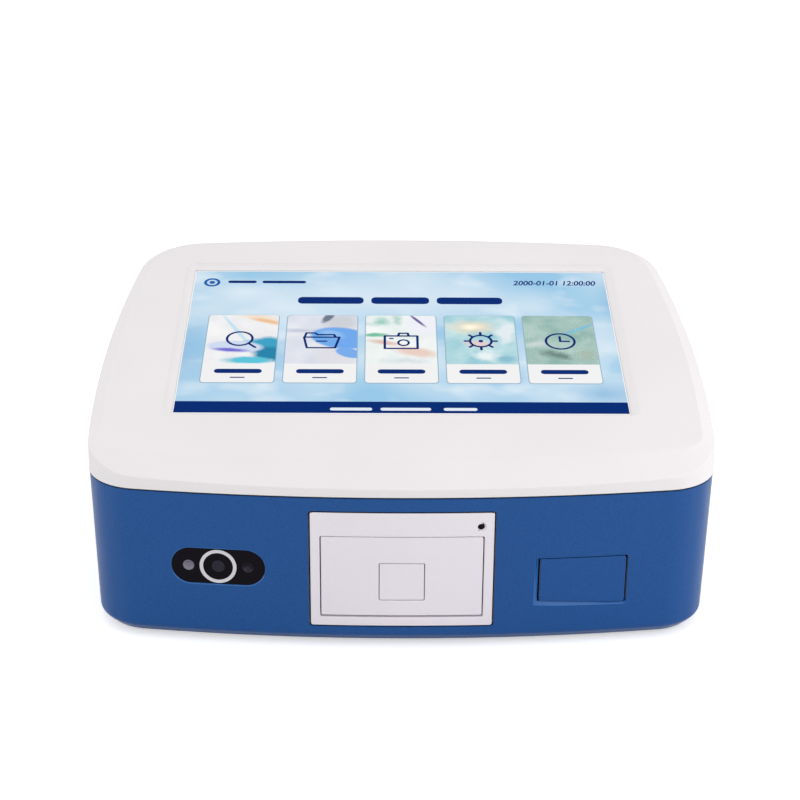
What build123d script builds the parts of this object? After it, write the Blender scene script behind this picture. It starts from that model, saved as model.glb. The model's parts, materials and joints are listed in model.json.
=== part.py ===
from build123d import *
import os
from math import asin, atan2, cos, hypot, radians, sin, tan

os.makedirs("parts", exist_ok=True)

# Bench analyzer for mycotoxin test cards, in millimetres.
# The origin is on the bench under the middle of the unit, +Z is up and the front faces -Y.

# Overall form
width = 294.6
depth = 221.0
foot_height = 2.0
base_height = 75.0
seam_gap = 0.8
lip_height = 4.0
band_rise = 9.0
band_depth = 13.0
plateau_inset = 6.3
plateau_tilt = 11.0
draft = 1.2

# Plan outline: shallow front, side and back arcs with rounded corners, widest at the side crest
front_bow_radius = 829.0
side_bow_radius = 690.0
back_bow_radius = 1354.0
side_crest = 80.0
front_corner_radius = 27.0
back_corner_radius = 34.0
plateau_front_radius = 13.0
plateau_back_radius = 28.0
plateau_edge_radius = 2.2

# Shell walls
tub_wall = 3.0
tub_floor = 3.0
cover_wall = 2.5
bottom_chamfer = 4.5
cavity_chamfer = 3.0
tub_step = 0.3
gasket_inset = 1.2
gasket_width = 1.2

# Screen
active_width = 217.0
active_height = 135.6
screen_behind_middle = 5.6
screen_bevel = 4.5
window_corner = 0.8
window_land = 0.4
glass_margin = 6.0
glass_thickness = 1.1
lcd_thickness = 4.4
bracket_thickness = 1.2
standoff_height = 8.0
standoff_radius = 2.5
standoff_edge = 6.0
board_thickness = 1.6
main_board_width = 170.0
main_board_height = 104.0
heat_sink_size = 36.0
heat_sink_height = 7.0
screen_boss_radius = 3.2
screen_boss_edge = 4.5
screen_boss_pitch = 96.0

# Fastener shanks, heads and the housing's screw posts
m3_radius = 1.5
m3_head_radius = 2.8
m3_head_height = 1.8
m4_radius = 2.0
m4_head_radius = 3.8
m4_head_height = 2.6
screw_clearance = 0.25
post_radius = 6.5
post_side_in = (21.3, 29.3)
post_end_in = (30.6, 18.5)
post_cap = 9.0
post_grip = 12.0

# Feet
foot_radius = 8.0
foot_seat = 1.0
foot_side_in = (33.3, 45.8)
foot_end_in = (42.6, 36.4)

# Chassis plate
chassis_width = 214.0
chassis_from_front = 24.0
chassis_from_back = 21.0
chassis_thickness = 1.5
chassis_boss_height = 4.0
chassis_boss_radius = 5.0
chassis_boss_edge = 10.0

# Drawer frame in the front wall
frame_width = 84.3
frame_height = 58.6
frame_bottom = 9.4
frame_corner = 1.5
frame_proud = 0.4
frame_back = 10.0
frame_gap = 0.6
frame_flange = 3.0
lamp_radius = 1.6
lamp_dish_radius = 2.6
lamp_dish_depth = 0.9
lamp_x = 35.9
lamp_z = 61.0

# Drawer front and its press pad
panel_width = 74.2
panel_height = 40.7
panel_bottom = 15.0
panel_corner = 0.8
panel_gap = 0.5
panel_gap_top = 0.25
panel_gap_bottom = 1.0
panel_proud = 0.3
panel_skin = 4.2
drawer_front_depth = 8.0
drawer_rim = 3.6
pad_width = 20.5
pad_height = 18.8
pad_bottom = 23.2
pad_corner = 0.8
pad_gap = 0.35
pad_proud = 0.1
pad_flange = 1.6
pad_flange_thickness = 1.0
pad_running_gap = 0.25
pad_stem_radius = 1.6
pad_travel = 0.8
switch_size = 6.0
switch_clearance = 0.2

# Card tray, its rails and guide
tray_width = 64.0
tray_overrun = 7.0
tray_bottom = 31.0
tray_thickness = 11.0
tray_front_wall = 2.0
tongue_reach = 1.6
tongue_height = 3.0
tongue_z = 36.5
rail_gap = 0.25
rail_thickness = 4.0
rail_height = 9.0
guide_wall = 2.5
guide_length = 132.0
guide_top = 56.0
guide_foot = 9.0
guide_window_length = 22.0
guide_window_height = 9.0
guide_window_pitch = 29.0
guide_window_count = 4
card_length = 71.0
card_width = 21.0
card_depth = 5.2
card_from_front = 8.0
card_corner = 1.5
thumb_radius = 17.0
thumb_depth = 4.0

# Lead screw drive
motor_size = 28.2
motor_length = 32.0
motor_chamfer = 3.0
motor_pilot_radius = 11.0
motor_pilot_height = 2.0
motor_floor_gap = 0.3
screw_radius = 3.0
screw_running_gap = 0.05
nut_radius = 6.0
nut_flange_radius = 9.5
nut_flange_thickness = 2.5
nut_length = 14.0
nut_leg_width = 22.0
bearing_radius = 4.5
bearing_flange_radius = 5.2
bearing_flange_thickness = 1.0
bearing_post_width = 16.0
bearing_post_thickness = 5.0
bearing_post_top = 1.0
screw_in_motor = 20.0
motor_plate_thickness = 2.0
motor_plate_foot = 16.0

# Optics over the tray
bridge_length = 56.0
bridge_from_guide = 60.0
bridge_thickness = 2.0
head_width = 48.0
head_length = 46.0
head_above_tray = 1.6
lens_radius = 4.0
lens_height = 2.0
uv_lamp_radius = 4.75
uv_lamp_length = 9.0
detector_radius = 6.0
detector_height = 9.0

# Code scanner at the left
scanner_x = -84.7
scanner_z = 38.0
window_width = 43.6
window_height = 18.2
window_sink = 0.5
window_thickness = 2.0
window_gap = 0.15
window_ledge = 2.6
scanner_rim = 3.0
scanner_rim_margin = 4.0
ring_outer_radius = 8.6
ring_inner_radius = 6.95
ring_proud = 0.15
ring_depth = 1.0
scanner_lens_radius = 3.15
scanner_lamp_radius = 2.7
scanner_lamp_x = 13.8
dome_rise = 0.7
dome_shoulder = 0.9
module_width = 40.0
module_height = 15.0
module_depth = 12.0

# Port flap at the right
flap_x = 83.9
flap_z = 31.8
flap_width = 40.0
flap_height = 22.9
flap_lean = 2.2
flap_thickness = 3.0
flap_corner = 1.5
flap_gap = 0.5
flap_grip_gap = 0.9
flap_hinge_gap = 1.0
flap_left_bevel = 2.3
flap_bottom_bevel = 2.2
flap_bevel_end = 0.9
flap_bevel_depth = 1.4
hinge_from_edge = 3.0
hinge_depth = 2.2
hinge_radius = 0.5
hinge_running_gap = 0.06
hinge_seat = 4.0
bay_margin = 0.5
bay_wall = 1.5
bay_depth = 20.0
bay_clearance = 0.1
usb_width = 13.2
usb_height = 5.8
usb_length = 14.0
usb_port_depth = 9.0
usb_skin = 0.4
usb_tongue = 1.9
usb_pitch = 18.0
usb_reach = 5.0
pillar_radius = 2.2
port_board_width = 46.0
port_board_height = 20.0

# Rear panel and its connectors
rear_opening_width = 124.0
rear_opening_height = 30.0
rear_opening_corner = 3.0
rear_z = 36.0
rear_panel_in = 7.0
rear_panel_margin = 5.0
rear_panel_thickness = 1.5
rear_rim = 7.0
rear_switch_x = -44.0
rear_inlet_x = -16.0
rear_lan_x = 24.0
switch_bezel_width = 15.0
switch_bezel_height = 21.0
switch_bezel_thickness = 1.6
switch_body_width = 13.0
switch_body_height = 19.0
switch_body_depth = 16.0
rocker_width = 10.4
rocker_half_height = 7.6
rocker_rise = 2.8
rocker_dip = 1.4
rocker_pivot_depth = 3.2
rocker_root = 2.5
trunnion_radius = 1.0
rocker_swing = 8.0
rocker_gap = 0.35
inlet_nut_radius = 6.5
inlet_nut_thickness = 2.0
inlet_body_radius = 5.5
inlet_body_length = 14.0
inlet_bore_radius = 2.8
inlet_bore_depth = 9.0
inlet_pin_radius = 1.0
lan_width = 16.0
lan_height = 13.6
lan_length = 18.0
lan_port_width = 11.8
lan_port_height = 8.2
lan_port_depth = 12.0

# Speaker and its slots in the floor
speaker_x = -68.0
speaker_from_back = 28.0
speaker_radius = 18.0
speaker_height = 8.0
slot_length = 22.0
slot_width = 2.4
slot_pitch = 5.0
slot_count = 5

# Heights and stations worked out from the sizes above
front_y = -depth / 2
back_y = depth / 2
bottom_z = foot_height
seam_z = bottom_z + base_height
lip_z = seam_z + seam_gap
lip_top_z = lip_z + lip_height
floor_z = bottom_z + tub_floor
half_crest = width / 2
tilt = radians(plateau_tilt)

plateau_plane = Plane(
    origin=(0, front_y + band_depth, lip_top_z + band_rise),
    x_dir=(1, 0, 0),
    z_dir=(0, -sin(tilt), cos(tilt)),
)
plateau_length = (depth - band_depth - plateau_inset) / cos(tilt)
band_slope = atan2(band_rise, band_depth) - tilt
screen_plane = Plane(
    origin=plateau_plane.origin + plateau_plane.y_dir * (plateau_length / 2 + screen_behind_middle),
    x_dir=plateau_plane.x_dir,
    z_dir=plateau_plane.z_dir,
)


def front_plane(y):
    """Upright plane across the unit at y, facing the front, with x to the right and y up."""
    return Plane.XZ.offset(-y)


def rear_plane(x, y, z):
    """Upright plane at a point, facing the back."""
    return Plane(origin=(x, y, z), x_dir=(-1, 0, 0), z_dir=(0, 1, 0))


def front_wall_plane(x, z):
    """Plane that touches the bowed and drafted front wall at x and z, with its normal pointing out."""
    turn = asin(x / front_bow_radius)
    lean = radians(draft)
    reach = front_bow_radius - tub_step - (seam_z - z) * tan(lean)
    origin = (reach * sin(turn), front_y + front_bow_radius - reach * cos(turn), z)
    normal = (sin(turn) * cos(lean), -cos(turn) * cos(lean), -sin(lean))
    return Plane(origin=origin, x_dir=(cos(turn), sin(turn), 0), z_dir=normal)


def bowed_face(plane, half_width, stations, radii, inset):
    """Face where a front, a back and two side discs overlap, with rounded corners, moved in by inset."""
    front, crest, back = stations
    side_x = half_width - side_bow_radius
    with BuildSketch(plane) as face:
        with Locations((0, front + front_bow_radius)):
            Circle(front_bow_radius - inset)
        with Locations((0, back - back_bow_radius)):
            Circle(back_bow_radius - inset, mode=Mode.INTERSECT)
        with Locations((-side_x, crest)):
            Circle(side_bow_radius - inset, mode=Mode.INTERSECT)
        with Locations(Location((side_x, crest, 0), (0, 0, 180))):
            Circle(side_bow_radius - inset, mode=Mode.INTERSECT)
        fillet(face.vertices().group_by(Axis.Y)[0], radii[0] - inset)
        fillet(face.vertices().group_by(Axis.Y)[-1], radii[1] - inset)
    return face.sketch


def plan_outline(z, inset=0.0):
    """The unit's plan outline at the seam, at height z."""
    stations = (front_y, front_y + side_crest, back_y)
    return bowed_face(
        Plane.XY.offset(z), half_crest, stations, (front_corner_radius, back_corner_radius), inset
    )


def plateau_outline(below=0.0, inset=0.0):
    """The tilted plateau's outline, on a plane below its surface."""
    stations = (0, (side_crest - band_depth) / cos(tilt), plateau_length)
    radii = (plateau_front_radius, plateau_back_radius)
    return bowed_face(plateau_plane.offset(-below), half_crest - plateau_inset, stations, radii, inset)


def cover_body(inset=0.0):
    """The cover's outer form: upright wall, sloping band and tilted plateau, moved in by inset."""
    band_foot = depth / 2
    with BuildPart() as body:
        extrude(plan_outline(lip_z, inset), amount=depth, taper=draft)
        loft(
            [
                plateau_outline(inset, inset),
                plateau_outline(inset + band_foot, inset - band_foot / tan(band_slope)),
            ],
            ruled=True,
            mode=Mode.INTERSECT,
        )
    return body.part


def drafted_body(inset=0.0):
    """The lower housing's outer form without its bottom chamfer, moved in by inset."""
    with BuildPart() as body:
        extrude(plan_outline(seam_z, tub_step + inset), amount=base_height, taper=draft)
        mirror(about=Plane.XY.offset(seam_z), mode=Mode.REPLACE)
    return body.part


def corner_places(side_in, end_in):
    """Two front and two back places, in from the sides and from the front and back."""
    front = [(side * (half_crest - side_in[0]), front_y + end_in[0]) for side in (-1, 1)]
    back = [(side * (half_crest - side_in[1]), back_y - end_in[1]) for side in (-1, 1)]
    return front + back


def flap_face(plane, left, right, above, below_left, below_right):
    """The flap's face grown by those sizes: bottom edge leaning, right corners rounded."""
    left_x = -flap_width / 2 - left
    right_x = flap_width / 2 + right
    top_y = flap_height / 2 + above
    with BuildSketch(plane) as face:
        with BuildLine():
            Polyline(
                (left_x, top_y),
                (left_x, (flap_lean - flap_height) / 2 - below_left),
                (right_x, -(flap_lean + flap_height) / 2 - below_right),
                (right_x, top_y),
                close=True,
            )
        make_face()
        fillet(face.vertices().group_by(Axis.X)[-1], flap_corner)
    return face.sketch


def is_plateau(face):
    """Whether a face lies on the tilted plateau's plane."""
    return face.geom_type == GeomType.PLANE and face.normal_at().dot(plateau_plane.z_dir) > cos(tilt / 2)


def save(part, name):
    """Label a finished piece and write its file."""
    part.label = name
    export_step(part, f"parts/{name}.step")


# Lower housing
post_places = corner_places(post_side_in, post_end_in)
foot_names = ("foot_front_left", "foot_front_right", "foot_back_left", "foot_back_right")
foot_places = corner_places(foot_side_in, foot_end_in)
chassis_length = depth - chassis_from_front - chassis_from_back
chassis_y = front_y + chassis_from_front + chassis_length / 2
chassis_z = floor_z + chassis_boss_height
speaker_y = chassis_y + chassis_length / 2 - speaker_from_back
chassis_top = chassis_z + chassis_thickness
chassis_bosses = (chassis_width - 2 * chassis_boss_edge, chassis_length - 2 * chassis_boss_edge)
post_top_z = seam_z - post_cap
frame_z = bottom_z + frame_bottom + frame_height / 2
rear_y = back_y - rear_panel_in
rear_centre_z = bottom_z + rear_z
scanner_plane = front_wall_plane(scanner_x, bottom_z + scanner_z)
window_back = window_sink + window_thickness
module_front = tub_wall + scanner_rim
flap_plane = front_wall_plane(flap_x, bottom_z + flap_z)
opening_gaps = (flap_grip_gap, flap_hinge_gap, flap_gap, flap_gap, flap_gap)
opening_half_height = (flap_height + flap_lean) / 2 + flap_gap
hinge_x = flap_width / 2 - hinge_from_edge
hinge_plane = Plane(
    origin=flap_plane.from_local_coords((hinge_x, 0, -hinge_depth)),
    x_dir=flap_plane.x_dir,
    z_dir=flap_plane.y_dir,
)
hinge_half_length = opening_half_height + hinge_seat

with BuildPart() as tub_cavity:
    add(drafted_body(tub_wall))
    split(bisect_by=Plane.XY.offset(floor_z), keep=Keep.TOP)
    chamfer(tub_cavity.faces().sort_by(Axis.Z)[0].edges(), cavity_chamfer)
    with BuildSketch(Plane.XY.offset(floor_z)):
        with Locations(*post_places):
            Circle(post_radius)
    extrude(amount=base_height, mode=Mode.SUBTRACT)
    with BuildSketch(Plane.XY.offset(floor_z)):
        with Locations((0, chassis_y)):
            with GridLocations(*chassis_bosses, 2, 2):
                Circle(chassis_boss_radius)
    extrude(amount=chassis_boss_height, mode=Mode.SUBTRACT)
    with BuildSketch(scanner_plane.offset(-module_front)):
        SlotOverall(window_width + 2 * scanner_rim_margin, window_height + 2 * scanner_rim_margin)
    extrude(amount=module_front, mode=Mode.SUBTRACT)
    with BuildSketch(rear_plane(0, rear_y, rear_centre_z)):
        Rectangle(rear_opening_width + 2 * rear_rim, rear_opening_height + 2 * rear_rim)
    extrude(amount=rear_panel_in, mode=Mode.SUBTRACT)

with BuildPart() as lower_housing:
    add(drafted_body())
    chamfer(lower_housing.faces().sort_by(Axis.Z)[0].edges(), bottom_chamfer)
    add(tub_cavity.part, mode=Mode.SUBTRACT)
    with BuildSketch(Plane.XY.offset(bottom_z)):
        with Locations(*post_places):
            Circle(m4_head_radius + screw_clearance)
    extrude(amount=post_top_z - bottom_z, mode=Mode.SUBTRACT)
    with BuildSketch(Plane.XY.offset(post_top_z)):
        with Locations(*post_places):
            Circle(m4_radius + screw_clearance)
    extrude(amount=post_cap, mode=Mode.SUBTRACT)
    with BuildSketch(Plane.XY.offset(bottom_z)):
        with Locations(*foot_places):
            Circle(foot_radius)
    extrude(amount=foot_seat, mode=Mode.SUBTRACT)
    with BuildSketch(Plane.XY.offset(floor_z)):
        with Locations((0, chassis_y)):
            with GridLocations(*chassis_bosses, 2, 2):
                Circle(m3_radius)
    extrude(amount=chassis_boss_height, mode=Mode.SUBTRACT)
    # Opening for the drawer frame
    with BuildSketch(front_plane(front_y + frame_back)):
        with Locations((0, frame_z)):
            RectangleRounded(frame_width + 2 * frame_gap, frame_height + 2 * frame_gap, frame_corner)
    extrude(amount=2 * frame_back, mode=Mode.SUBTRACT)
    # Seat and sight hole for the scanner window
    with BuildSketch(scanner_plane.offset(-window_back)):
        SlotOverall(window_width, window_height)
    extrude(amount=2 * window_back, mode=Mode.SUBTRACT)
    with BuildSketch(scanner_plane.offset(-module_front)):
        SlotOverall(window_width - 2 * window_ledge, window_height - 2 * window_ledge)
    extrude(amount=module_front, mode=Mode.SUBTRACT)
    # Opening for the flap, bevelled along its left and bottom edges as a finger grip
    extrude(
        flap_face(flap_plane.offset(-tub_wall - bay_depth), *opening_gaps),
        amount=2 * bay_depth + tub_wall,
        mode=Mode.SUBTRACT,
    )
    bevel_mouth = flap_face(
        flap_plane,
        flap_grip_gap + flap_left_bevel,
        flap_hinge_gap,
        flap_gap,
        flap_gap + flap_bottom_bevel,
        flap_gap + flap_bevel_end,
    )
    loft(
        [flap_face(flap_plane.offset(-flap_bevel_depth), *opening_gaps), bevel_mouth],
        mode=Mode.SUBTRACT,
    )
    with BuildSketch(hinge_plane):
        Circle(hinge_radius)
    extrude(amount=hinge_half_length, both=True, mode=Mode.SUBTRACT)
    # Opening for the rear panel
    with BuildSketch(rear_plane(0, rear_y, rear_centre_z)):
        RectangleRounded(rear_opening_width, rear_opening_height, rear_opening_corner)
    extrude(amount=2 * rear_panel_in, mode=Mode.SUBTRACT)
    # Slots under the speaker
    with BuildSketch(Plane.XY.offset(bottom_z)):
        with Locations((speaker_x, speaker_y)):
            with GridLocations(0, slot_pitch, 1, slot_count):
                SlotOverall(slot_length, slot_width)
    extrude(amount=tub_floor, mode=Mode.SUBTRACT)
save(lower_housing.part, "lower_housing")

# Top cover
screen_boss_x = active_width / 2 + glass_margin + screen_boss_edge
screen_boss_depth = cover_wall + glass_thickness + lcd_thickness
screen_bosses = (2 * screen_boss_x, screen_boss_pitch)

with BuildPart() as cover_cavity:
    add(cover_body(cover_wall))
    with BuildSketch(Plane.XY.offset(lip_z)):
        with Locations(*post_places):
            Circle(post_radius)
    extrude(amount=depth, mode=Mode.SUBTRACT)
    with BuildSketch(screen_plane.offset(-screen_boss_depth)):
        with GridLocations(*screen_bosses, 2, 2):
            Circle(screen_boss_radius)
    extrude(amount=screen_boss_depth, mode=Mode.SUBTRACT)

with BuildPart() as top_cover:
    add(cover_body())
    fillet(top_cover.faces().filter_by(is_plateau).edges(), plateau_edge_radius)
    add(cover_cavity.part, mode=Mode.SUBTRACT)
    with BuildSketch(screen_plane.offset(-2 * cover_wall)):
        RectangleRounded(active_width, active_height, window_corner)
    extrude(amount=4 * cover_wall, mode=Mode.SUBTRACT)
    plateau = top_cover.faces().filter_by(is_plateau).sort_by(Axis.Z)[-1]
    chamfer(plateau.inner_wires()[0].edges(), screen_bevel, cover_wall - window_land, reference=plateau)
    with BuildSketch(Plane.XY.offset(seam_z)):
        with Locations(*post_places):
            Circle(post_radius)
    extrude(amount=seam_gap)
    with BuildSketch(Plane.XY.offset(seam_z)):
        with Locations(*post_places):
            Circle(m4_radius)
    extrude(amount=post_grip, mode=Mode.SUBTRACT)
    with BuildSketch(screen_plane.offset(-screen_boss_depth)):
        with GridLocations(*screen_bosses, 2, 2):
            Circle(m3_radius)
    extrude(amount=lcd_thickness, mode=Mode.SUBTRACT)
save(top_cover.part, "top_cover")

with BuildPart() as housing_gasket:
    extrude(plan_outline(seam_z, gasket_inset), amount=seam_gap)
    extrude(plan_outline(seam_z, gasket_inset + gasket_width), amount=seam_gap, mode=Mode.SUBTRACT)
save(housing_gasket.part, "housing_gasket")

with BuildPart() as housing_screws:
    with BuildSketch(Plane.XY.offset(post_top_z)):
        with Locations(*post_places):
            Circle(m4_head_radius)
    extrude(amount=-m4_head_height)
    with BuildSketch(Plane.XY.offset(post_top_z)):
        with Locations(*post_places):
            Circle(m4_radius)
    extrude(amount=post_cap + post_grip)
save(housing_screws.part, "housing_screws")

for name, place in zip(foot_names, foot_places):
    with BuildPart() as foot:
        with BuildSketch():
            with Locations(place):
                Circle(foot_radius)
        extrude(amount=foot_height + foot_seat)
        chamfer(foot.faces().sort_by(Axis.Z)[0].edges(), foot_seat)
    save(foot.part, name)

# Chassis plate on the tub's bosses
guide_z = chassis_top + guide_wall
rail_outer_x = tray_width / 2 + rail_gap + rail_thickness
guide_outer_x = rail_outer_x + guide_wall
guide_front_y = front_y + frame_back + panel_gap
guide_screw_spacing = (2 * guide_outer_x + guide_foot, guide_length - 2 * guide_foot)
guide_y = guide_front_y + guide_length / 2
tray_length = guide_length - tray_overrun

with BuildPart() as chassis_plate:
    with BuildSketch(Plane.XY.offset(chassis_z)):
        with Locations((0, chassis_y)):
            Rectangle(chassis_width, chassis_length)
            with GridLocations(*chassis_bosses, 2, 2):
                Circle(m3_radius, mode=Mode.SUBTRACT)
        with Locations((0, guide_y)):
            with GridLocations(*guide_screw_spacing, 2, 2):
                Circle(m3_radius, mode=Mode.SUBTRACT)
        with Locations((speaker_x, speaker_y)):
            Circle(speaker_radius + chassis_boss_radius, mode=Mode.SUBTRACT)
    extrude(amount=chassis_thickness)
save(chassis_plate.part, "chassis_plate")

with BuildPart() as chassis_screws:
    with BuildSketch(Plane.XY.offset(floor_z)):
        with Locations((0, chassis_y)):
            with GridLocations(*chassis_bosses, 2, 2):
                Circle(m3_radius)
    extrude(amount=chassis_boss_height + chassis_thickness)
    with BuildSketch(Plane.XY.offset(chassis_top)):
        with Locations((0, chassis_y)):
            with GridLocations(*chassis_bosses, 2, 2):
                Circle(m3_head_radius)
    extrude(amount=m3_head_height)
save(chassis_screws.part, "chassis_screws")

with BuildPart() as speaker:
    with BuildSketch(Plane.XY.offset(floor_z)):
        with Locations((speaker_x, speaker_y)):
            Circle(speaker_radius)
    extrude(amount=speaker_height / 2)
    with BuildSketch(Plane.XY.offset(floor_z + speaker_height / 2)):
        with Locations((speaker_x, speaker_y)):
            Circle(speaker_radius / 2)
    extrude(amount=speaker_height / 2)
save(speaker.part, "speaker")

# Drawer frame
frame_back_y = front_y + frame_back
panel_z = bottom_z + panel_bottom + panel_height / 2
lamp_y = front_wall_plane(lamp_x, bottom_z + lamp_z).origin.Y - frame_proud

with BuildPart() as frame_flange_ring:
    with BuildSketch(front_plane(frame_back_y)):
        with Locations((0, frame_z)):
            Rectangle(frame_width + 2 * frame_flange, frame_height + 2 * frame_flange)
    extrude(amount=frame_back)
    add(drafted_body(tub_wall + bay_clearance), mode=Mode.INTERSECT)

with BuildPart() as bay_frame:
    with BuildSketch(front_plane(frame_back_y)):
        with Locations((0, frame_z)):
            RectangleRounded(frame_width, frame_height, frame_corner)
    extrude(amount=2 * frame_back)
    add(drafted_body(-frame_proud), mode=Mode.INTERSECT)
    add(frame_flange_ring.part)
    with BuildSketch(front_plane(frame_back_y)):
        with Locations((0, panel_z + (panel_gap_top - panel_gap_bottom) / 2)):
            RectangleRounded(
                panel_width + 2 * panel_gap, panel_height + panel_gap_top + panel_gap_bottom, panel_corner
            )
        with Locations((lamp_x, bottom_z + lamp_z)):
            Circle(lamp_radius)
    extrude(amount=2 * frame_back, mode=Mode.SUBTRACT)
    with BuildSketch(front_plane(lamp_y + lamp_dish_depth)) as dish_foot:
        with Locations((lamp_x, bottom_z + lamp_z)):
            Circle(lamp_radius)
    with BuildSketch(front_plane(lamp_y)) as dish_mouth:
        with Locations((lamp_x, bottom_z + lamp_z)):
            Circle(lamp_dish_radius)
    loft([dish_foot.sketch, dish_mouth.sketch], mode=Mode.SUBTRACT)
save(bay_frame.part, "bay_frame")

with BuildPart() as status_lamp:
    with BuildSketch(front_plane(frame_back_y)):
        with Locations((lamp_x, bottom_z + lamp_z)):
            Circle(lamp_radius)
    extrude(amount=frame_back_y - lamp_y - lamp_dish_depth)
save(status_lamp.part, "status_lamp")

# Drawer front with its press pad and switch
drawer_back_y = front_y + drawer_front_depth
tray_top = tray_bottom + tray_thickness
pad_z = bottom_z + pad_bottom + pad_height / 2
pad_flange_y = front_y + panel_skin + pad_running_gap
pad_back_y = pad_flange_y + pad_flange_thickness
switch_y = drawer_back_y - switch_clearance
drawer_screw_x = (pad_width / 2 + panel_width / 2) / 2
drawer_screw_z = tray_top + 2 * m3_head_radius
drawer_screw_boss = 2 * m3_radius

with BuildPart() as drawer_front:
    with BuildSketch(front_plane(drawer_back_y)):
        with Locations((0, panel_z)):
            RectangleRounded(panel_width, panel_height, panel_corner)
    extrude(amount=2 * drawer_front_depth)
    add(drafted_body(-panel_proud), mode=Mode.INTERSECT)
    with BuildSketch(front_plane(drawer_back_y)):
        with Locations((0, panel_z)):
            Rectangle(panel_width - 2 * drawer_rim, panel_height - 2 * drawer_rim)
        with Locations((0, drawer_screw_z)):
            with GridLocations(2 * drawer_screw_x, 0, 2, 1):
                Circle(drawer_screw_boss, mode=Mode.SUBTRACT)
    extrude(amount=drawer_front_depth - panel_skin, mode=Mode.SUBTRACT)
    with BuildSketch(front_plane(drawer_back_y)):
        with Locations((0, drawer_screw_z)):
            with GridLocations(2 * drawer_screw_x, 0, 2, 1):
                Circle(m3_radius)
    extrude(amount=drawer_front_depth - panel_skin, mode=Mode.SUBTRACT)
    with BuildSketch(front_plane(drawer_back_y)):
        with Locations((0, pad_z)):
            RectangleRounded(pad_width + 2 * pad_gap, pad_height + 2 * pad_gap, pad_corner)
    extrude(amount=2 * drawer_front_depth, mode=Mode.SUBTRACT)
save(drawer_front.part, "drawer_front")

with BuildPart() as open_pad:
    with BuildSketch(front_plane(pad_flange_y)):
        with Locations((0, pad_z)):
            RectangleRounded(pad_width, pad_height, pad_corner)
    extrude(amount=drawer_front_depth)
    add(drafted_body(-pad_proud), mode=Mode.INTERSECT)
    with BuildSketch(front_plane(pad_back_y)):
        with Locations((0, pad_z)):
            Rectangle(pad_width + 2 * pad_flange, pad_height + 2 * pad_flange)
    extrude(amount=pad_flange_thickness)
    with BuildSketch(front_plane(pad_back_y)):
        with Locations((0, pad_z)):
            Circle(pad_stem_radius)
    extrude(amount=-(switch_y - pad_travel - switch_clearance - pad_back_y))
save(open_pad.part, "open_pad")

# Card tray
tray_front_y = drawer_back_y
tray_back_y = tray_front_y + tray_length
card_y = tray_front_y + card_from_front + card_length / 2
screw_z = chassis_top + motor_floor_gap + motor_size / 2

with BuildPart() as card_tray:
    with BuildSketch(front_plane(tray_back_y)):
        with Locations((0, tray_bottom + tray_thickness / 2)):
            Rectangle(tray_width, tray_thickness)
        with Locations((0, tongue_z)):
            Rectangle(tray_width + 2 * tongue_reach, tongue_height)
    extrude(amount=tray_length)
    with BuildSketch(front_plane(tray_front_y)):
        with Locations((0, panel_z)):
            Rectangle(panel_width - 2 * drawer_rim, panel_height - drawer_rim)
    extrude(amount=-tray_front_wall)
    with BuildSketch(front_plane(tray_front_y)):
        with Locations((0, pad_z)):
            Rectangle(switch_size, switch_size)
        with Locations((0, drawer_screw_z)):
            with GridLocations(2 * drawer_screw_x, 0, 2, 1):
                Circle(m3_radius)
    extrude(amount=-tray_front_wall, mode=Mode.SUBTRACT)
    with BuildSketch(front_plane(tray_back_y)):
        with Locations((0, (screw_z - nut_flange_radius + tray_bottom) / 2)):
            Rectangle(nut_leg_width, tray_bottom - screw_z + nut_flange_radius)
    extrude(amount=nut_length)
    with BuildSketch(front_plane(tray_back_y)):
        with Locations((0, screw_z)):
            Circle(nut_radius)
    extrude(amount=nut_length, mode=Mode.SUBTRACT)
    with BuildSketch(Plane.XY.offset(tray_top)):
        with Locations((0, card_y)):
            RectangleRounded(card_width, card_length, card_corner)
    extrude(amount=-card_depth, mode=Mode.SUBTRACT)
    with BuildSketch(Plane.XY.offset(tray_top)):
        with Locations((0, card_y)):
            Circle(thumb_radius)
    extrude(amount=-thumb_depth, mode=Mode.SUBTRACT)
save(card_tray.part, "card_tray")

with BuildPart() as pad_switch:
    with BuildSketch(front_plane(switch_y)):
        with Locations((0, pad_z)):
            Rectangle(switch_size, switch_size)
    extrude(amount=-(switch_clearance + tray_front_wall))
save(pad_switch.part, "pad_switch")

with BuildPart() as drawer_screws:
    with BuildSketch(front_plane(tray_front_y + tray_front_wall)):
        with Locations((0, drawer_screw_z)):
            with GridLocations(2 * drawer_screw_x, 0, 2, 1):
                Circle(m3_radius)
    extrude(amount=tray_front_wall + drawer_front_depth - panel_skin)
    with BuildSketch(front_plane(tray_front_y + tray_front_wall)):
        with Locations((0, drawer_screw_z)):
            with GridLocations(2 * drawer_screw_x, 0, 2, 1):
                Circle(m3_head_radius)
    extrude(amount=-m3_head_height)
save(drawer_screws.part, "drawer_screws")

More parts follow.
